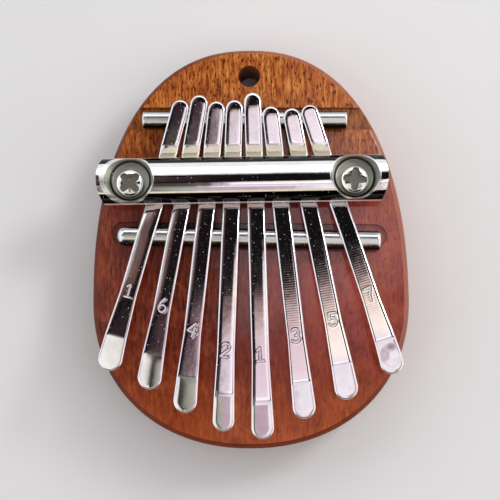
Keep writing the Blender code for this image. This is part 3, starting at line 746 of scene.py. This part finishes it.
class Graph:
    """The node tree of a shader, with short ways to add to it."""

    def __init__(self, tree):
        self.tree = tree

    def feed(self, node, inputs):
        """Link or set sockets of a node."""
        for key, value in inputs.items():
            if isinstance(value, bpy.types.NodeSocket):
                self.tree.links.new(value, node.inputs[key])
            else:
                node.inputs[key].default_value = value

    def add(self, kind, inputs=None, **settings):
        """Add a node with its settings and sockets, and give its outputs."""
        node = self.tree.nodes.new("ShaderNode" + kind)
        for key, value in settings.items():
            setattr(node, key, value)
        self.feed(node, inputs or {})
        return node.outputs

    def ramp(self, factor, stops):
        """A colour ramp from stops of place and colour."""
        node = self.tree.nodes.new("ShaderNodeValToRGB")
        self.feed(node, {"Fac": factor})
        elements = node.color_ramp.elements
        while len(elements) < len(stops):
            elements.new(0.5)
        for element, (place, colour) in zip(elements, stops):
            element.position = place
            element.color = (*colour, 1.0)
        return node.outputs["Color"]

    def axes(self, vector):
        """The three parts of a vector."""
        parts = self.add("SeparateXYZ", {"Vector": vector})
        return parts["X"], parts["Y"], parts["Z"]

    def vector(self, operation, *inputs, output="Vector"):
        """One step of arithmetic on vectors."""
        return self.add("VectorMath", dict(enumerate(inputs)), operation=operation)[output]

    def calc(self, operation, first, second=0.0):
        """One step of arithmetic."""
        return self.add("Math", {0: first, 1: second}, operation=operation)["Value"]

    def times(self, product, *factors):
        """Product of values."""
        for factor in factors:
            product = self.calc("MULTIPLY", product, factor)
        return product

    def span(self, value, low, high, to_low=0.0, to_high=1.0, kind="SMOOTHSTEP"):
        """Map a value from one range to another, clamped, along an eased step."""
        inputs = {"Value": value, "From Min": low, "From Max": high}
        inputs |= {"To Min": to_low, "To Max": to_high}
        return self.add("MapRange", inputs, interpolation_type=kind)["Result"]

    def line(self, value, low, high, to_low=0.0, to_high=1.0):
        """Map a value from one range to another, clamped, along a straight line."""
        return self.span(value, low, high, to_low, to_high, "LINEAR")

    def within(self, value, low, high, soft):
        """Mask of the values in a range, with soft ends."""
        rise = self.span(value, low - soft, low + soft)
        return self.times(rise, self.span(value, high + soft, high - soft))

    def noise(self, vector, scale, detail=2.0, roughness=0.5, distortion=0.0):
        """Value of a noise texture."""
        inputs = {"Vector": vector, "Scale": scale, "Detail": detail}
        inputs |= {"Roughness": roughness, "Distortion": distortion}
        return self.add("TexNoise", inputs)["Fac"]

    def dust(self, vector, scale, radius, dimensions="3D"):
        """Mask of small round grains of dust, one in each cell."""
        inputs = {"Vector": vector, "Scale": scale}
        away = self.add("TexVoronoi", inputs, voronoi_dimensions=dimensions)["Distance"]
        return self.span(away, radius, 0.6 * radius)

    def mix(self, factor, first, second):
        """Mix two colours."""
        inputs = {0: factor}
        for key, colour in ((6, first), (7, second)):
            inputs[key] = (*colour, 1.0) if isinstance(colour, tuple) else colour
        return self.add("Mix", inputs, data_type="RGBA")[2]

    def layer(self, colour, *layers):
        """Lay colours over a colour, each by its mask."""
        for mask, over in layers:
            colour = self.mix(mask, colour, over)
        return colour

    def bump(self, height, distance, strength=1.0, **normal):
        """A normal bumped by a height."""
        inputs = {"Height": height, "Distance": distance, "Strength": strength}
        return self.add("Bump", inputs | normal)["Normal"]


def new_material(name):
    """A node material, with its graph and its shader."""
    made = bpy.data.materials.new(name)
    made.use_nodes = True
    return made, Graph(made.node_tree), made.node_tree.nodes["Principled BSDF"]


# Grain of the wood at the hole end and further down, from its dark streaks to its light ones
GOLDEN_GRAIN = (
    (0.34, (0.19, 0.032, 0.005)), (0.50, (0.48, 0.132, 0.022)), (0.66, (0.72, 0.28, 0.066)))
RED_GRAIN = (
    (0.34, (0.080, 0.008, 0.003)), (0.50, (0.205, 0.024, 0.009)), (0.66, (0.30, 0.044, 0.014)))
# Other colours of the wood
# The pinker, lighter wood towards the right is painted light.
LIT_PINK_SIDE, PLAY_END = (0.52, 0.100, 0.085), (0.48, 0.076, 0.012)
DARK_BLOTCH, LIGHT_BLOTCH = (0.15, 0.022, 0.008), (0.52, 0.12, 0.04)
PORE = (0.060, 0.009, 0.003)
# The darker floor of the backstop groove is painted shade.
GROOVE_SHADE, SLOT_SHADOW = (0.12, 0.045, 0.009), (0.012, 0.005, 0.004)
# The pale line along the inner edge of the rim is a painted highlight.
SHADED_RIM, LIT_RIM, BOARD_RIM_HIGHLIGHT = (0.13, 0.027, 0.013), (0.32, 0.105, 0.055), (0.70, 0.42, 0.30)
# Depth of the slot floor's shade from left to right
SLOT_SHADES = (
    (0.108, 0.06), (0.158, 0.85), (0.45, 0.85), (0.567, 0.40), (0.85, 0.40), (0.90, 0.06))


def wood_material():
    """Red-brown varnished hardwood: golden streaks, dark pores and a broad figure along Y."""
    made, g, shader = new_material("varnished_sapele")
    place = g.add("TexCoord")["Object"]
    x, y, z = g.axes(place)
    facing_up = g.axes(g.add("NewGeometry")["Normal"])[2]

    def grain(length_scale, *texture):
        return g.noise(g.vector("MULTIPLY", place, (1.0, length_scale, 1.0)), *texture)

    streaks = grain(0.15, 1700.0, 4.0, 0.65, 0.3)
    specks = grain(0.27, 2500.0, 1.5, 0.55, 0.25)
    figure = grain(0.2, 170.0, 3.0, 0.55, 0.6)
    mottle = grain(0.55, 520.0, 3.0, 0.6, 0.4)
    blotch = grain(0.7, 360.0, 4.0, 0.6, 0.5)

    toward_hole = g.span(y, 2 * MM, 34 * MM)
    toward_tips = g.span(y, -18 * MM, -40 * MM)
    lightness = g.calc("MAXIMUM", toward_hole, g.times(toward_tips, 0.45))
    broad, fine = g.span(figure, 0.35, 0.68, -0.22, 0.24), g.span(mottle, 0.35, 0.68, -0.16, 0.16)
    uneven = g.times(g.calc("ADD", broad, fine), g.line(toward_hole, 0.0, 1.0, 0.55, 1.0))
    lightness = g.line(g.calc("ADD", lightness, uneven), 0.0, 1.0)
    # Painted light: the middle of the board turns pinker and lighter towards the right
    lit_side = g.times(
        g.span(x, -10 * MM, 14 * MM, 0.0, 0.65), g.span(y, 26 * MM, 6 * MM),
        g.span(x, 19 * MM, 29 * MM, 1.0, 0.45), g.span(y, -36 * MM, -12 * MM))
    lower = g.span(y, 16 * MM, -4 * MM)
    pores = g.span(specks, 0.56, 0.645)

    sunk = g.span(z, BOARD_THICKNESS - 0.2 * MM, BOARD_THICKNESS - 0.4 * MM)
    floor = g.times(sunk, g.span(facing_up, 0.7, 0.9))
    in_slot = g.span(y, 16 * MM, 14 * MM)
    shades = [(stop, (depth, depth, depth)) for stop, depth in SLOT_SHADES]
    slot_shade = g.ramp(g.line(x, -30 * MM, 30 * MM), shades)

    upper_right = g.span(g.calc("ADD", g.times(x, 0.9), g.times(y, 0.45)), 5 * MM, 24 * MM)
    rim = g.span(facing_up, 0.985, 0.90)
    # Painted highlight along the inner edge of the rim, strongest at the upper right
    rim_highlight_mask = g.times(
        g.span(facing_up, 0.999, 0.99), g.span(facing_up, 0.94, 0.97),
        g.span(upper_right, 0.0, 1.0, 0.12, 0.85))
    colour = g.layer(
        g.mix(lightness, g.ramp(streaks, RED_GRAIN), g.ramp(streaks, GOLDEN_GRAIN)),
        (lit_side, LIT_PINK_SIDE),
        (g.times(toward_tips, 0.6), PLAY_END),
        (g.times(lower, g.span(blotch, 0.52, 0.68, 0.0, 0.5)), DARK_BLOTCH),
        (g.times(lower, g.span(blotch, 0.47, 0.34, 0.0, 0.35)), LIGHT_BLOTCH),
        (g.times(pores, g.span(y, -10 * MM, 30 * MM, 0.30, 0.88)), PORE),
        # Painted shade on the floor of the backstop groove
        (g.times(floor, g.line(in_slot, 0.0, 1.0, 0.45, 0.0)), GROOVE_SHADE),
        # Painted shadow on the floor of the slot, deepest towards the left
        (g.times(floor, in_slot, slot_shade), SLOT_SHADOW),
        (g.times(rim, 0.75), g.mix(upper_right, SHADED_RIM, LIT_RIM)),
        (rim_highlight_mask, BOARD_RIM_HIGHLIGHT))
    hollows = g.calc("SUBTRACT", g.times(streaks, 0.25), pores)
    matt = g.times(rim, g.span(upper_right, 0.0, 1.0, 0.85, 0.2))
    varnish = g.span(y, 19 * MM, 31 * MM, 1.0, 0.35), g.span(y, -26 * MM, -14 * MM, 0.4, 1.0)
    g.feed(shader, {
        "Base Color": colour,
        "Roughness": g.span(streaks, 0.3, 0.7, 0.46, 0.34),
        "Normal": g.bump(hollows, 0.03 * MM, 0.5),
        "Specular IOR Level": 0.1,
        "Coat Weight": g.times(*varnish, g.calc("SUBTRACT", 1.0, matt)),
        "Coat Normal": g.bump(g.noise(place, 260.0), 0.05 * MM, 0.35),
        "Coat Roughness": 0.07,
        "Coat IOR": 1.5,
    })
    return made


# Colours of the plating, and the height of its waves
# The near-black colour of the flanks is a painted dark reflection.
DARK_REFLECTION, DUST = (0.035, 0.033, 0.035), (0.85, 0.85, 0.85)
# The light colours at the feet of the flanks are painted highlights.
FAR_FOOT_HIGHLIGHT, NEAR_FOOT_HIGHLIGHT = (0.80, 0.74, 0.55), (0.90, 0.78, 0.74)
RECESS_TONE, RECESS_WALL = (0.40, 0.40, 0.34), (0.68, 0.69, 0.62)
# The dark colour in the corner of a recess is painted shade.
# The light colour on the rim of a recess is a painted highlight.
RECESS_CORNER_SHADE, RECESS_RIM_HIGHLIGHT = (0.045, 0.043, 0.042), (0.95, 0.95, 0.93)
CROSS_TONE = (0.24, 0.235, 0.195)
PLATING_WAVES = 0.01 * MM


def chrome_material(
        name, tone, polish, wear, dark_flanks=None, lean=0.0, bores=(), satin=(), painted_light=False):
    """Bright plating with waves, haze and dust, and satin of another tone in its bores.

    A painted dark reflection darkens both flanks from two slopes on, and a lean tilts the
    mirror of the crown. With painted light on, the feet of the flanks get painted highlights,
    and each bore has a light wall, a dark corner of painted shade and a rim of painted highlight.
    A bore has an axis, a radius, a top, a foot, a taper and a shift of its rim's highlight.
    """
    made, g, shader = new_material(name)
    place = g.add("TexCoord")["Object"]
    height = g.axes(place)[2]
    normal = g.add("NewGeometry")["Normal"]
    across = g.axes(normal)[1]
    flat = g.vector("MULTIPLY", place, (1.0, 1.0, 0.0))
    clouds = g.noise(place, 420.0, 3.0, 0.6)
    dust = g.dust(place, 1000.0, 0.085)
    colour = g.mix(g.span(clouds, 0.3, 0.7), tuple(0.92 * part for part in tone), tone)
    rough = g.span(clouds, 0.3, 0.7, polish, polish + wear)
    metal = g.span(dust, 0.0, 1.0, 1.0, 0.0)

    def roughen(mask, level):
        return g.calc("MAXIMUM", rough, g.times(mask, level))

    # Painted dark reflection on both flanks
    if dark_flanks:
        far, near = dark_flanks
        far_flank = g.times(g.span(across, far - 0.03, far + 0.04), g.span(across, 0.94, 0.90))
        near_flank = g.span(across, near + 0.04, near - 0.05)
        colour = g.mix(g.calc("MAXIMUM", far_flank, near_flank), colour, DARK_REFLECTION)
    # Painted highlights along the feet of both flanks
    if painted_light:
        far_foot, near_foot = g.span(across, 0.90, 0.94), g.span(across, -0.972, -0.988)
        colour = g.layer(colour, (far_foot, FAR_FOOT_HIGHLIGHT), (near_foot, NEAR_FOOT_HIGHLIGHT))
        rough = roughen(far_foot, 0.5)
        metal = g.times(metal, g.span(across, -0.988, -0.972))
    for x, y, radius, top, foot, taper, highlight_shift in bores:
        above_foot = g.calc("SUBTRACT", height, foot)
        widened = g.times(above_foot, taper)
        away, from_rim = (
            g.calc("SUBTRACT", g.vector("DISTANCE", flat, (axis, y, 0.0), output="Value"), widened)
            for axis in (x, x + highlight_shift))
        inner, outer = radius + 0.02 * MM, radius + 0.08 * MM
        below_top = g.span(height, top + 0.12 * MM, top - 0.12 * MM)
        bored = g.times(g.span(away, outer, inner), below_top)
        colour = g.mix(bored, colour, satin)
        rough = roughen(bored, 0.45)
        if painted_light:
            wall = g.times(bored, g.span(above_foot, 0.55 * MM, 0.85 * MM))
            # Painted shade in the corner at the foot of each bore
            corner = g.times(
                bored, g.span(above_foot, 0.02 * MM, 0.06 * MM),
                g.span(above_foot, 0.52 * MM, 0.36 * MM))
            # Painted highlight on the rim of each bore
            end = radius + abs(highlight_shift) + 0.34 * MM
            rim = g.times(g.span(away, inner, outer), g.span(from_rim, end, end - 0.08 * MM))
            colour = g.layer(
                colour, (wall, RECESS_WALL), (corner, RECESS_CORNER_SHADE), (rim, RECESS_RIM_HIGHLIGHT))
            rough = roughen(rim, 0.32)
    if lean:
        crown = g.times(g.span(across, 0.45, -0.12), g.span(across, -0.95, -0.30, 0.0, lean))
        push = g.add("CombineXYZ", {"Y": crown})["Vector"]
        normal = g.vector("NORMALIZE", g.vector("ADD", normal, push))
    g.feed(shader, {
        "Base Color": g.mix(dust, colour, DUST),
        "Roughness": rough,
        "Metallic": metal,
        "Normal": g.bump(g.noise(place, 300.0), PLATING_WAVES, Normal=normal),
    })
    return made


# Colours of the tines' steel, and the heights of its waves and rolling marks
DARK_STEEL, LIGHT_STEEL = (0.76, 0.73, 0.74), (0.86, 0.83, 0.84)
STAMPED_STEEL, STEEL_DUST = (0.90, 0.87, 0.88), (0.88, 0.88, 0.88)
STEEL_WAVES, SMOOTH_CHATTER, MARKED_CHATTER = 0.012 * MM, 0.0002 * MM, 0.0008 * MM


def tine_material(name, chatter):
    """Polished strip: painted reflection tone, rolling cross marks, faint draw lines and dust."""
    made, g, shader = new_material(name)
    strip = g.add("UVMap", uv_map="strip")["UV"]
    place = g.add("TexCoord")["Object"]
    info = g.add("ObjectInfo")
    stamp = g.add("Attribute", attribute_name="stamp")["Fac"]
    run = g.axes(strip)[1]
    own = g.times(info["Random"], 40.0)
    strip = g.vector("ADD", strip, g.add("CombineXYZ", {"X": own, "Y": own})["Vector"])

    clouds = g.noise(place, 330.0, 3.0, 0.6)
    # Painted reflection tone over the middle of each blade, from the tine's own tint
    tinted_band = g.times(g.span(run, -2.3, -1.5), g.span(run, -0.68, -0.98))
    draw = g.noise(g.vector("MULTIPLY", strip, (1.0, 0.03, 1.0)), 60.0, 3.0)
    grit = g.times(g.dust(strip, 8.5, 0.050, "2D"), 0.4)
    grains = g.calc("MAXIMUM", g.dust(strip, 4.6, 0.036, "2D"), grit)
    settled = g.times(
        g.dust(strip, 12.0, 0.12, "2D"), g.span(run, -4.4, -4.7, 0.0, 0.28),
        g.span(g.noise(strip, 14.0, 1.0), 0.47, 0.60))
    grains = g.calc("MAXIMUM", g.times(grains, g.span(run, -0.6, -0.9)), settled)
    waves = {"Vector": strip, "Scale": 6.5, "Distortion": 0.6, "Detail": 3.0, "Detail Scale": 1.8}
    marks = g.add("TexWave", waves, bands_direction="Y")["Fac"]
    swell = g.bump(g.noise(place, 240.0), STEEL_WAVES)
    colour = g.layer(
        g.mix(g.span(clouds, 0.3, 0.7), DARK_STEEL, LIGHT_STEEL),
        (tinted_band, info["Color"]), (stamp, STAMPED_STEEL), (grains, STEEL_DUST))
    rough = g.calc("MAXIMUM", g.span(draw, 0.3, 0.7, 0.035, 0.075), g.times(stamp, 0.42))
    g.feed(shader, {
        "Base Color": colour,
        "Roughness": rough,
        "Metallic": g.span(grains, 0.0, 1.0, 1.0, 0.0),
        "Normal": g.bump(marks, chatter, Normal=swell),
    })
    return made


def make_floor():
    """A plain pale floor with a faint mottle, curving up far away."""
    made, g, shader = new_material("pale_floor")
    mottle = g.noise(g.add("TexCoord")["Object"], 40.0, 3.0)
    colour = g.mix(mottle, (0.77, 0.77, 0.765), (0.80, 0.80, 0.795))
    g.feed(shader, {"Base Color": colour, "Roughness": 0.75})
    steps, facets, end_height = 8, 64, 0.16
    rings = []
    for index in range(steps + 1):
        reach, height = 1.0 + 0.5 * index, end_height * (index / steps) ** 2
        circle = arc(0.0, 0.0, reach, reach, 0, 360, facets)[:-1]
        rings.append([(x, y, height) for x, y in circle])
    floor = skin("floor", rings, cap_last=False)
    floor.data.shade_smooth()
    floor.data.materials.append(made)
    floor.location.z = -0.2 * MM
    return floor


# Light of the areas that the steel mirrors, by place across or along them
FRONT_LIGHT = (
    (0.06, (1.04, 1.03, 0.99)), (0.15, (0.78, 0.74, 0.64)), (0.195, (0.45, 0.42, 0.34)),
    (0.2375, (0.05, 0.05, 0.05)), (0.30, (0.05, 0.05, 0.055)), (0.345, (0.24, 0.26, 0.21)),
    (0.42, (0.46, 0.47, 0.40)), (0.50, (0.62, 0.46, 0.54)), (0.66, (0.62, 0.44, 0.53)),
    (0.75, (1.06, 1.0, 1.07)))
SILL_LIGHT = ((0.0, (0.98, 0.78, 0.52)), (0.6, (0.95, 0.85, 0.64)), (1.0, (0.72, 0.70, 0.57)))
BROWN_LIGHT = (
    (0.0, (0.58, 0.54, 0.56)), (0.19, (0.46, 0.42, 0.42)), (0.40, (0.16, 0.092, 0.077)),
    (0.65, (0.15, 0.092, 0.082)), (0.86, (0.05, 0.026, 0.024)), (1.0, (0.03, 0.016, 0.015)))
STEP_LIGHT = (
    (0.0, (0.03, 0.024, 0.026)), (0.62, (0.024, 0.014, 0.018)), (0.85, (0.10, 0.058, 0.068)),
    (1.0, (0.30, 0.23, 0.24)))
TAIL_LIGHT = (
    (0.0, (0.060, 0.055, 0.045)), (0.46, (0.076, 0.066, 0.056)), (0.69, (0.114, 0.076, 0.088)),
    (0.9, (0.195, 0.128, 0.128)), (1.0, (0.30, 0.23, 0.24)))
BACK_LIGHT = (
    (0.0, (0.30, 0.25, 0.26)), (0.14, (1.40, 1.27, 1.38)), (0.46, (1.32, 1.18, 1.30)),
    (0.60, (1.08, 0.97, 1.06)), (0.76, (0.98, 0.88, 0.96)), (0.84, (0.86, 0.70, 0.70)),
    (0.92, (0.36, 0.23, 0.21)), (0.97, (0.04, 0.028, 0.030)))
WINDOW_LIGHT = ((0.12, (0.98, 0.99, 1.0)), (0.48, (1.0, 1.01, 1.03)), (0.62, (2.04, 2.06, 2.09)))
# Light of the plain areas
CEILING = (0.007, 0.006, 0.007)
MIDDLE_LEFT, MIDDLE_RIGHT = (0.24, 0.20, 0.20), (0.85, 0.78, 0.84)
FOLD, GLOW, BRIGHT_STRIP = (0.42, 0.29, 0.30), (0.42, 0.36, 0.38), (1.02, 0.97, 1.04)
TIP_MAUVE, TIP_LINE = (0.68, 0.56, 0.65), (0.06, 0.045, 0.05)
BRIGHT_EDGE, DARK_EDGE = (1.38, 1.30, 1.32), (0.02, 0.018, 0.02)
LEFT_SIDE, RIGHT_SIDE = (1.12, 1.20, 1.30), (1.25, 1.16, 1.19)


def light_the_room():
    """A dim ceiling with soft light and dark areas, light sides and a tall window at the hole end.

    The areas lie by lean, which is how far a direction leans from straight up, as a slope.
    """
    world = bpy.data.worlds.new("studio")
    bpy.context.scene.world = world
    world.use_nodes = True
    g = Graph(world.node_tree)
    x, y, z = g.axes(g.add("TexCoord")["Generated"])
    up = g.calc("MAXIMUM", z, 0.001)
    lean_x, lean_y = g.calc("DIVIDE", x, up), g.calc("DIVIDE", y, up)
    skewed_y = g.calc("SUBTRACT", lean_y, g.times(g.calc("ADD", lean_x, 0.014), 0.4))
    wide = g.span(g.calc("ABSOLUTE", lean_x), 1.3, 0.9)

    def area(x_range, y_range):
        return g.times(g.within(lean_x, *x_range), g.within(lean_y, *y_range))

    middle = g.mix(g.span(lean_x, -0.06, -0.03), MIDDLE_LEFT, MIDDLE_RIGHT)
    front_light = g.ramp(g.line(lean_x, -0.25, 0.15), FRONT_LIGHT)
    fold = g.times(g.within(lean_y, -0.62, -0.36, 0.05), g.span(lean_x, 0.135, 0.165))
    strip = g.times(g.within(lean_y, -0.14, -0.035, 0.02), g.span(lean_x, -0.075, -0.035))
    tips_y = (-0.34, -0.16, 0.02)
    sill_light = g.ramp(g.line(lean_y, -1.10, -0.66), SILL_LIGHT)
    brown_light = g.ramp(g.line(lean_x, -0.42, -0.05), BROWN_LIGHT)
    back = g.times(wide, g.within(skewed_y, 0.04, 0.30, 0.012))
    left_x = g.line(lean_x, -0.12, -0.04)
    step_light, tail_light = g.ramp(left_x, STEP_LIGHT), g.ramp(left_x, TAIL_LIGHT)
    back_light = g.ramp(g.line(skewed_y, 0.03, 0.31), BACK_LIGHT)

    flat = g.calc("SQRT", g.calc("ADD", g.times(x, x), g.times(y, y)))
    flat = g.calc("MAXIMUM", flat, 0.001)
    ahead, aside = g.calc("DIVIDE", y, flat), g.calc("DIVIDE", x, flat)
    facing = g.calc("ADD", g.times(ahead, 0.96), g.times(aside, 0.28))
    low = g.span(z, 0.765, 0.70)
    wall = g.times(low, g.span(z, -0.02, 0.03))
    colour = g.layer(
        CEILING,
        (g.times(wide, g.within(lean_y, -0.66, 0.06, 0.05)), middle),
        (g.times(wide, g.within(lean_y, -0.66, -0.15, 0.04)), front_light),
        (fold, FOLD),
        (area((0.265, 0.345, 0.025), tips_y), TIP_MAUVE),
        (area((0.358, 0.46, 0.008), tips_y), TIP_LINE),
        (strip, BRIGHT_STRIP),
        (g.times(wide, g.within(lean_y, -1.12, -0.62, 0.05)), sill_light),
        (area((-0.80, -0.065, 0.02), (0.32, 0.78, 0.03)), brown_light),
        (back, g.mix(g.span(lean_y, 0.2385, 0.2335), step_light, tail_light)),
        (g.times(back, g.span(lean_x, -0.050, -0.028)), back_light),
        (g.times(back, g.within(lean_x, 0.052, 0.120, 0.012), 0.7), BRIGHT_EDGE),
        (g.times(back, g.within(lean_x, 0.130, 0.30, 0.008)), DARK_EDGE),
        (area((-0.19, -0.122, 0.012), (-0.03, 0.185, 0.02)), GLOW),
        (g.times(g.span(aside, -0.50, -0.78), wall), LEFT_SIDE),
        (g.times(g.span(aside, 0.50, 0.78), wall), RIGHT_SIDE),
        (g.times(g.span(facing, 0.36, 0.60), low, g.span(z, 0.08, 0.16)), g.ramp(z, WINDOW_LIGHT)),
        (area((-0.60, -0.17, 0.025), (0.32, 0.96, 0.03)), brown_light))
    g.feed(world.node_tree.nodes["Background"], {"Color": colour, "Strength": 1.0})


def place_lamp():
    """One soft lamp to the right, beyond the hole end."""
    lamp = bpy.data.lights.new("side_lamp", "AREA")
    lamp.shape = "RECTANGLE"
    lamp.size = 0.16
    lamp.size_y = 0.10
    lamp.energy = 1.0
    holder = link("side_lamp", lamp)
    holder.location = (0.40, 0.28, 0.34)
    aim = Vector((0.0, 0.0, 0.01)) - holder.location
    holder.rotation_euler = aim.to_track_quat("-Z", "Y").to_euler()


def place_camera():
    """The camera at the photo's angle, just off straight above."""
    eye = Vector((4.0, -29.1, 240.0)) * MM
    target = Vector((0.0, -1.1, 10.0)) * MM
    roll = radians(-0.75)
    forward = (target - eye).normalized()
    right = forward.cross(Vector((0.0, 1.0, 0.0))).normalized()
    axes = Matrix((right, right.cross(forward), -forward)).transposed()
    turn = (axes @ Matrix.Rotation(roll, 3, "Z")).to_4x4()
    camera = bpy.data.cameras.new("camera")
    camera.lens = 80.93
    camera.sensor_width = 36.0
    camera.clip_start = 0.005
    camera.clip_end = 20.0
    holder = link("camera", camera)
    holder.matrix_world = Matrix.Translation(eye) @ turn
    bpy.context.scene.camera = holder


bpy.context.scene.view_settings.view_transform = "Standard"
light_the_room()
place_lamp()
place_camera()
make_floor()

board = make_board()
dress(board, wood_material(), "wood", "soundboard")
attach(board, ROOT)

rod_chrome = chrome_material("rod_chrome", (0.80, 0.82, 0.83), 0.20, 0.07, dark_flanks=(0.72, -0.62))
for node, *sizes in (
        ("backstop_rod", *BACKSTOP_SIZE, BACKSTOP_PLACE, BACKSTOP_SKEW, BACKSTOP_ENDS),
        ("bridge_rod", *BRIDGE_SIZE, BRIDGE_PLACE, BRIDGE_SKEW, BRIDGE_ENDS)):
    rod = make_rod(f"{node}_chrome", *sizes)
    dress(rod, rod_chrome, "rods", node)
    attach(rod, ROOT)

# The painted highlight on the rim of the left recess is wider on its left
recess = (BAR_Y, RECESS_FLOOR_RADIUS, BAR_TOP - 0.3 * MM, RECESS_FLOOR_Z, RECESS_TAPER)
recesses = [(x, *recess, highlight_shift) for x, highlight_shift in zip(SCREW_X, (-0.4 * MM, 0.0))]
bar_chrome = chrome_material(
    "bar_chrome", (0.87, 0.87, 0.88), 0.03, 0.04, (0.60, -0.64), 0.27, recesses, RECESS_TONE, True)
bar = make_bar()
dress(bar, bar_chrome, "bar", "pressure_bar")
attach(bar, ROOT)

crosses = [(x, SCREW_Y, 2.3 * MM, HEAD_SEAT_Z + 1.15 * MM, 0.0, 0.0, 0.0) for x in SCREW_X]
screw_zinc = chrome_material(
    "screw_zinc", (0.80, 0.81, 0.79), 0.03, 0.12, bores=crosses, satin=CROSS_TONE)
for side, x, turn in (("left", SCREW_X[0], 43.0), ("right", SCREW_X[1], -6.0)):
    screw = make_screw(f"screw_{side}_zinc", x, radians(turn))
    dress(screw, screw_zinc, "screws", f"screw_{side}")
    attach(screw, ROOT)

smooth_steel = tine_material("tine_steel_smooth", SMOOTH_CHATTER)
marked_steel = tine_material("tine_steel_marked", MARKED_CHATTER)
tail_x = TAIL_ROW_X - sum(TINE_WIDTH + tine.gap for tine in TINES[:-1]) / 2
for number, tine in enumerate(TINES, start=1):
    tine.lay(number, tail_x)
    strip = make_tine(tine)
    # The tint is a painted tone of the blade's reflection
    strip.color = (*tine.tint, 1.0)
    steel = marked_steel if number >= FIRST_RIGHT_TINE else smooth_steel
    dress(strip, steel, "tines", f"tine_{number}_tail", f"tine_{number}_blade")
    start, end = (tine.over_bridge(run) for run in BLEND_RUNS)
    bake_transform(strip)
    tail_x += TINE_WIDTH + tine.gap
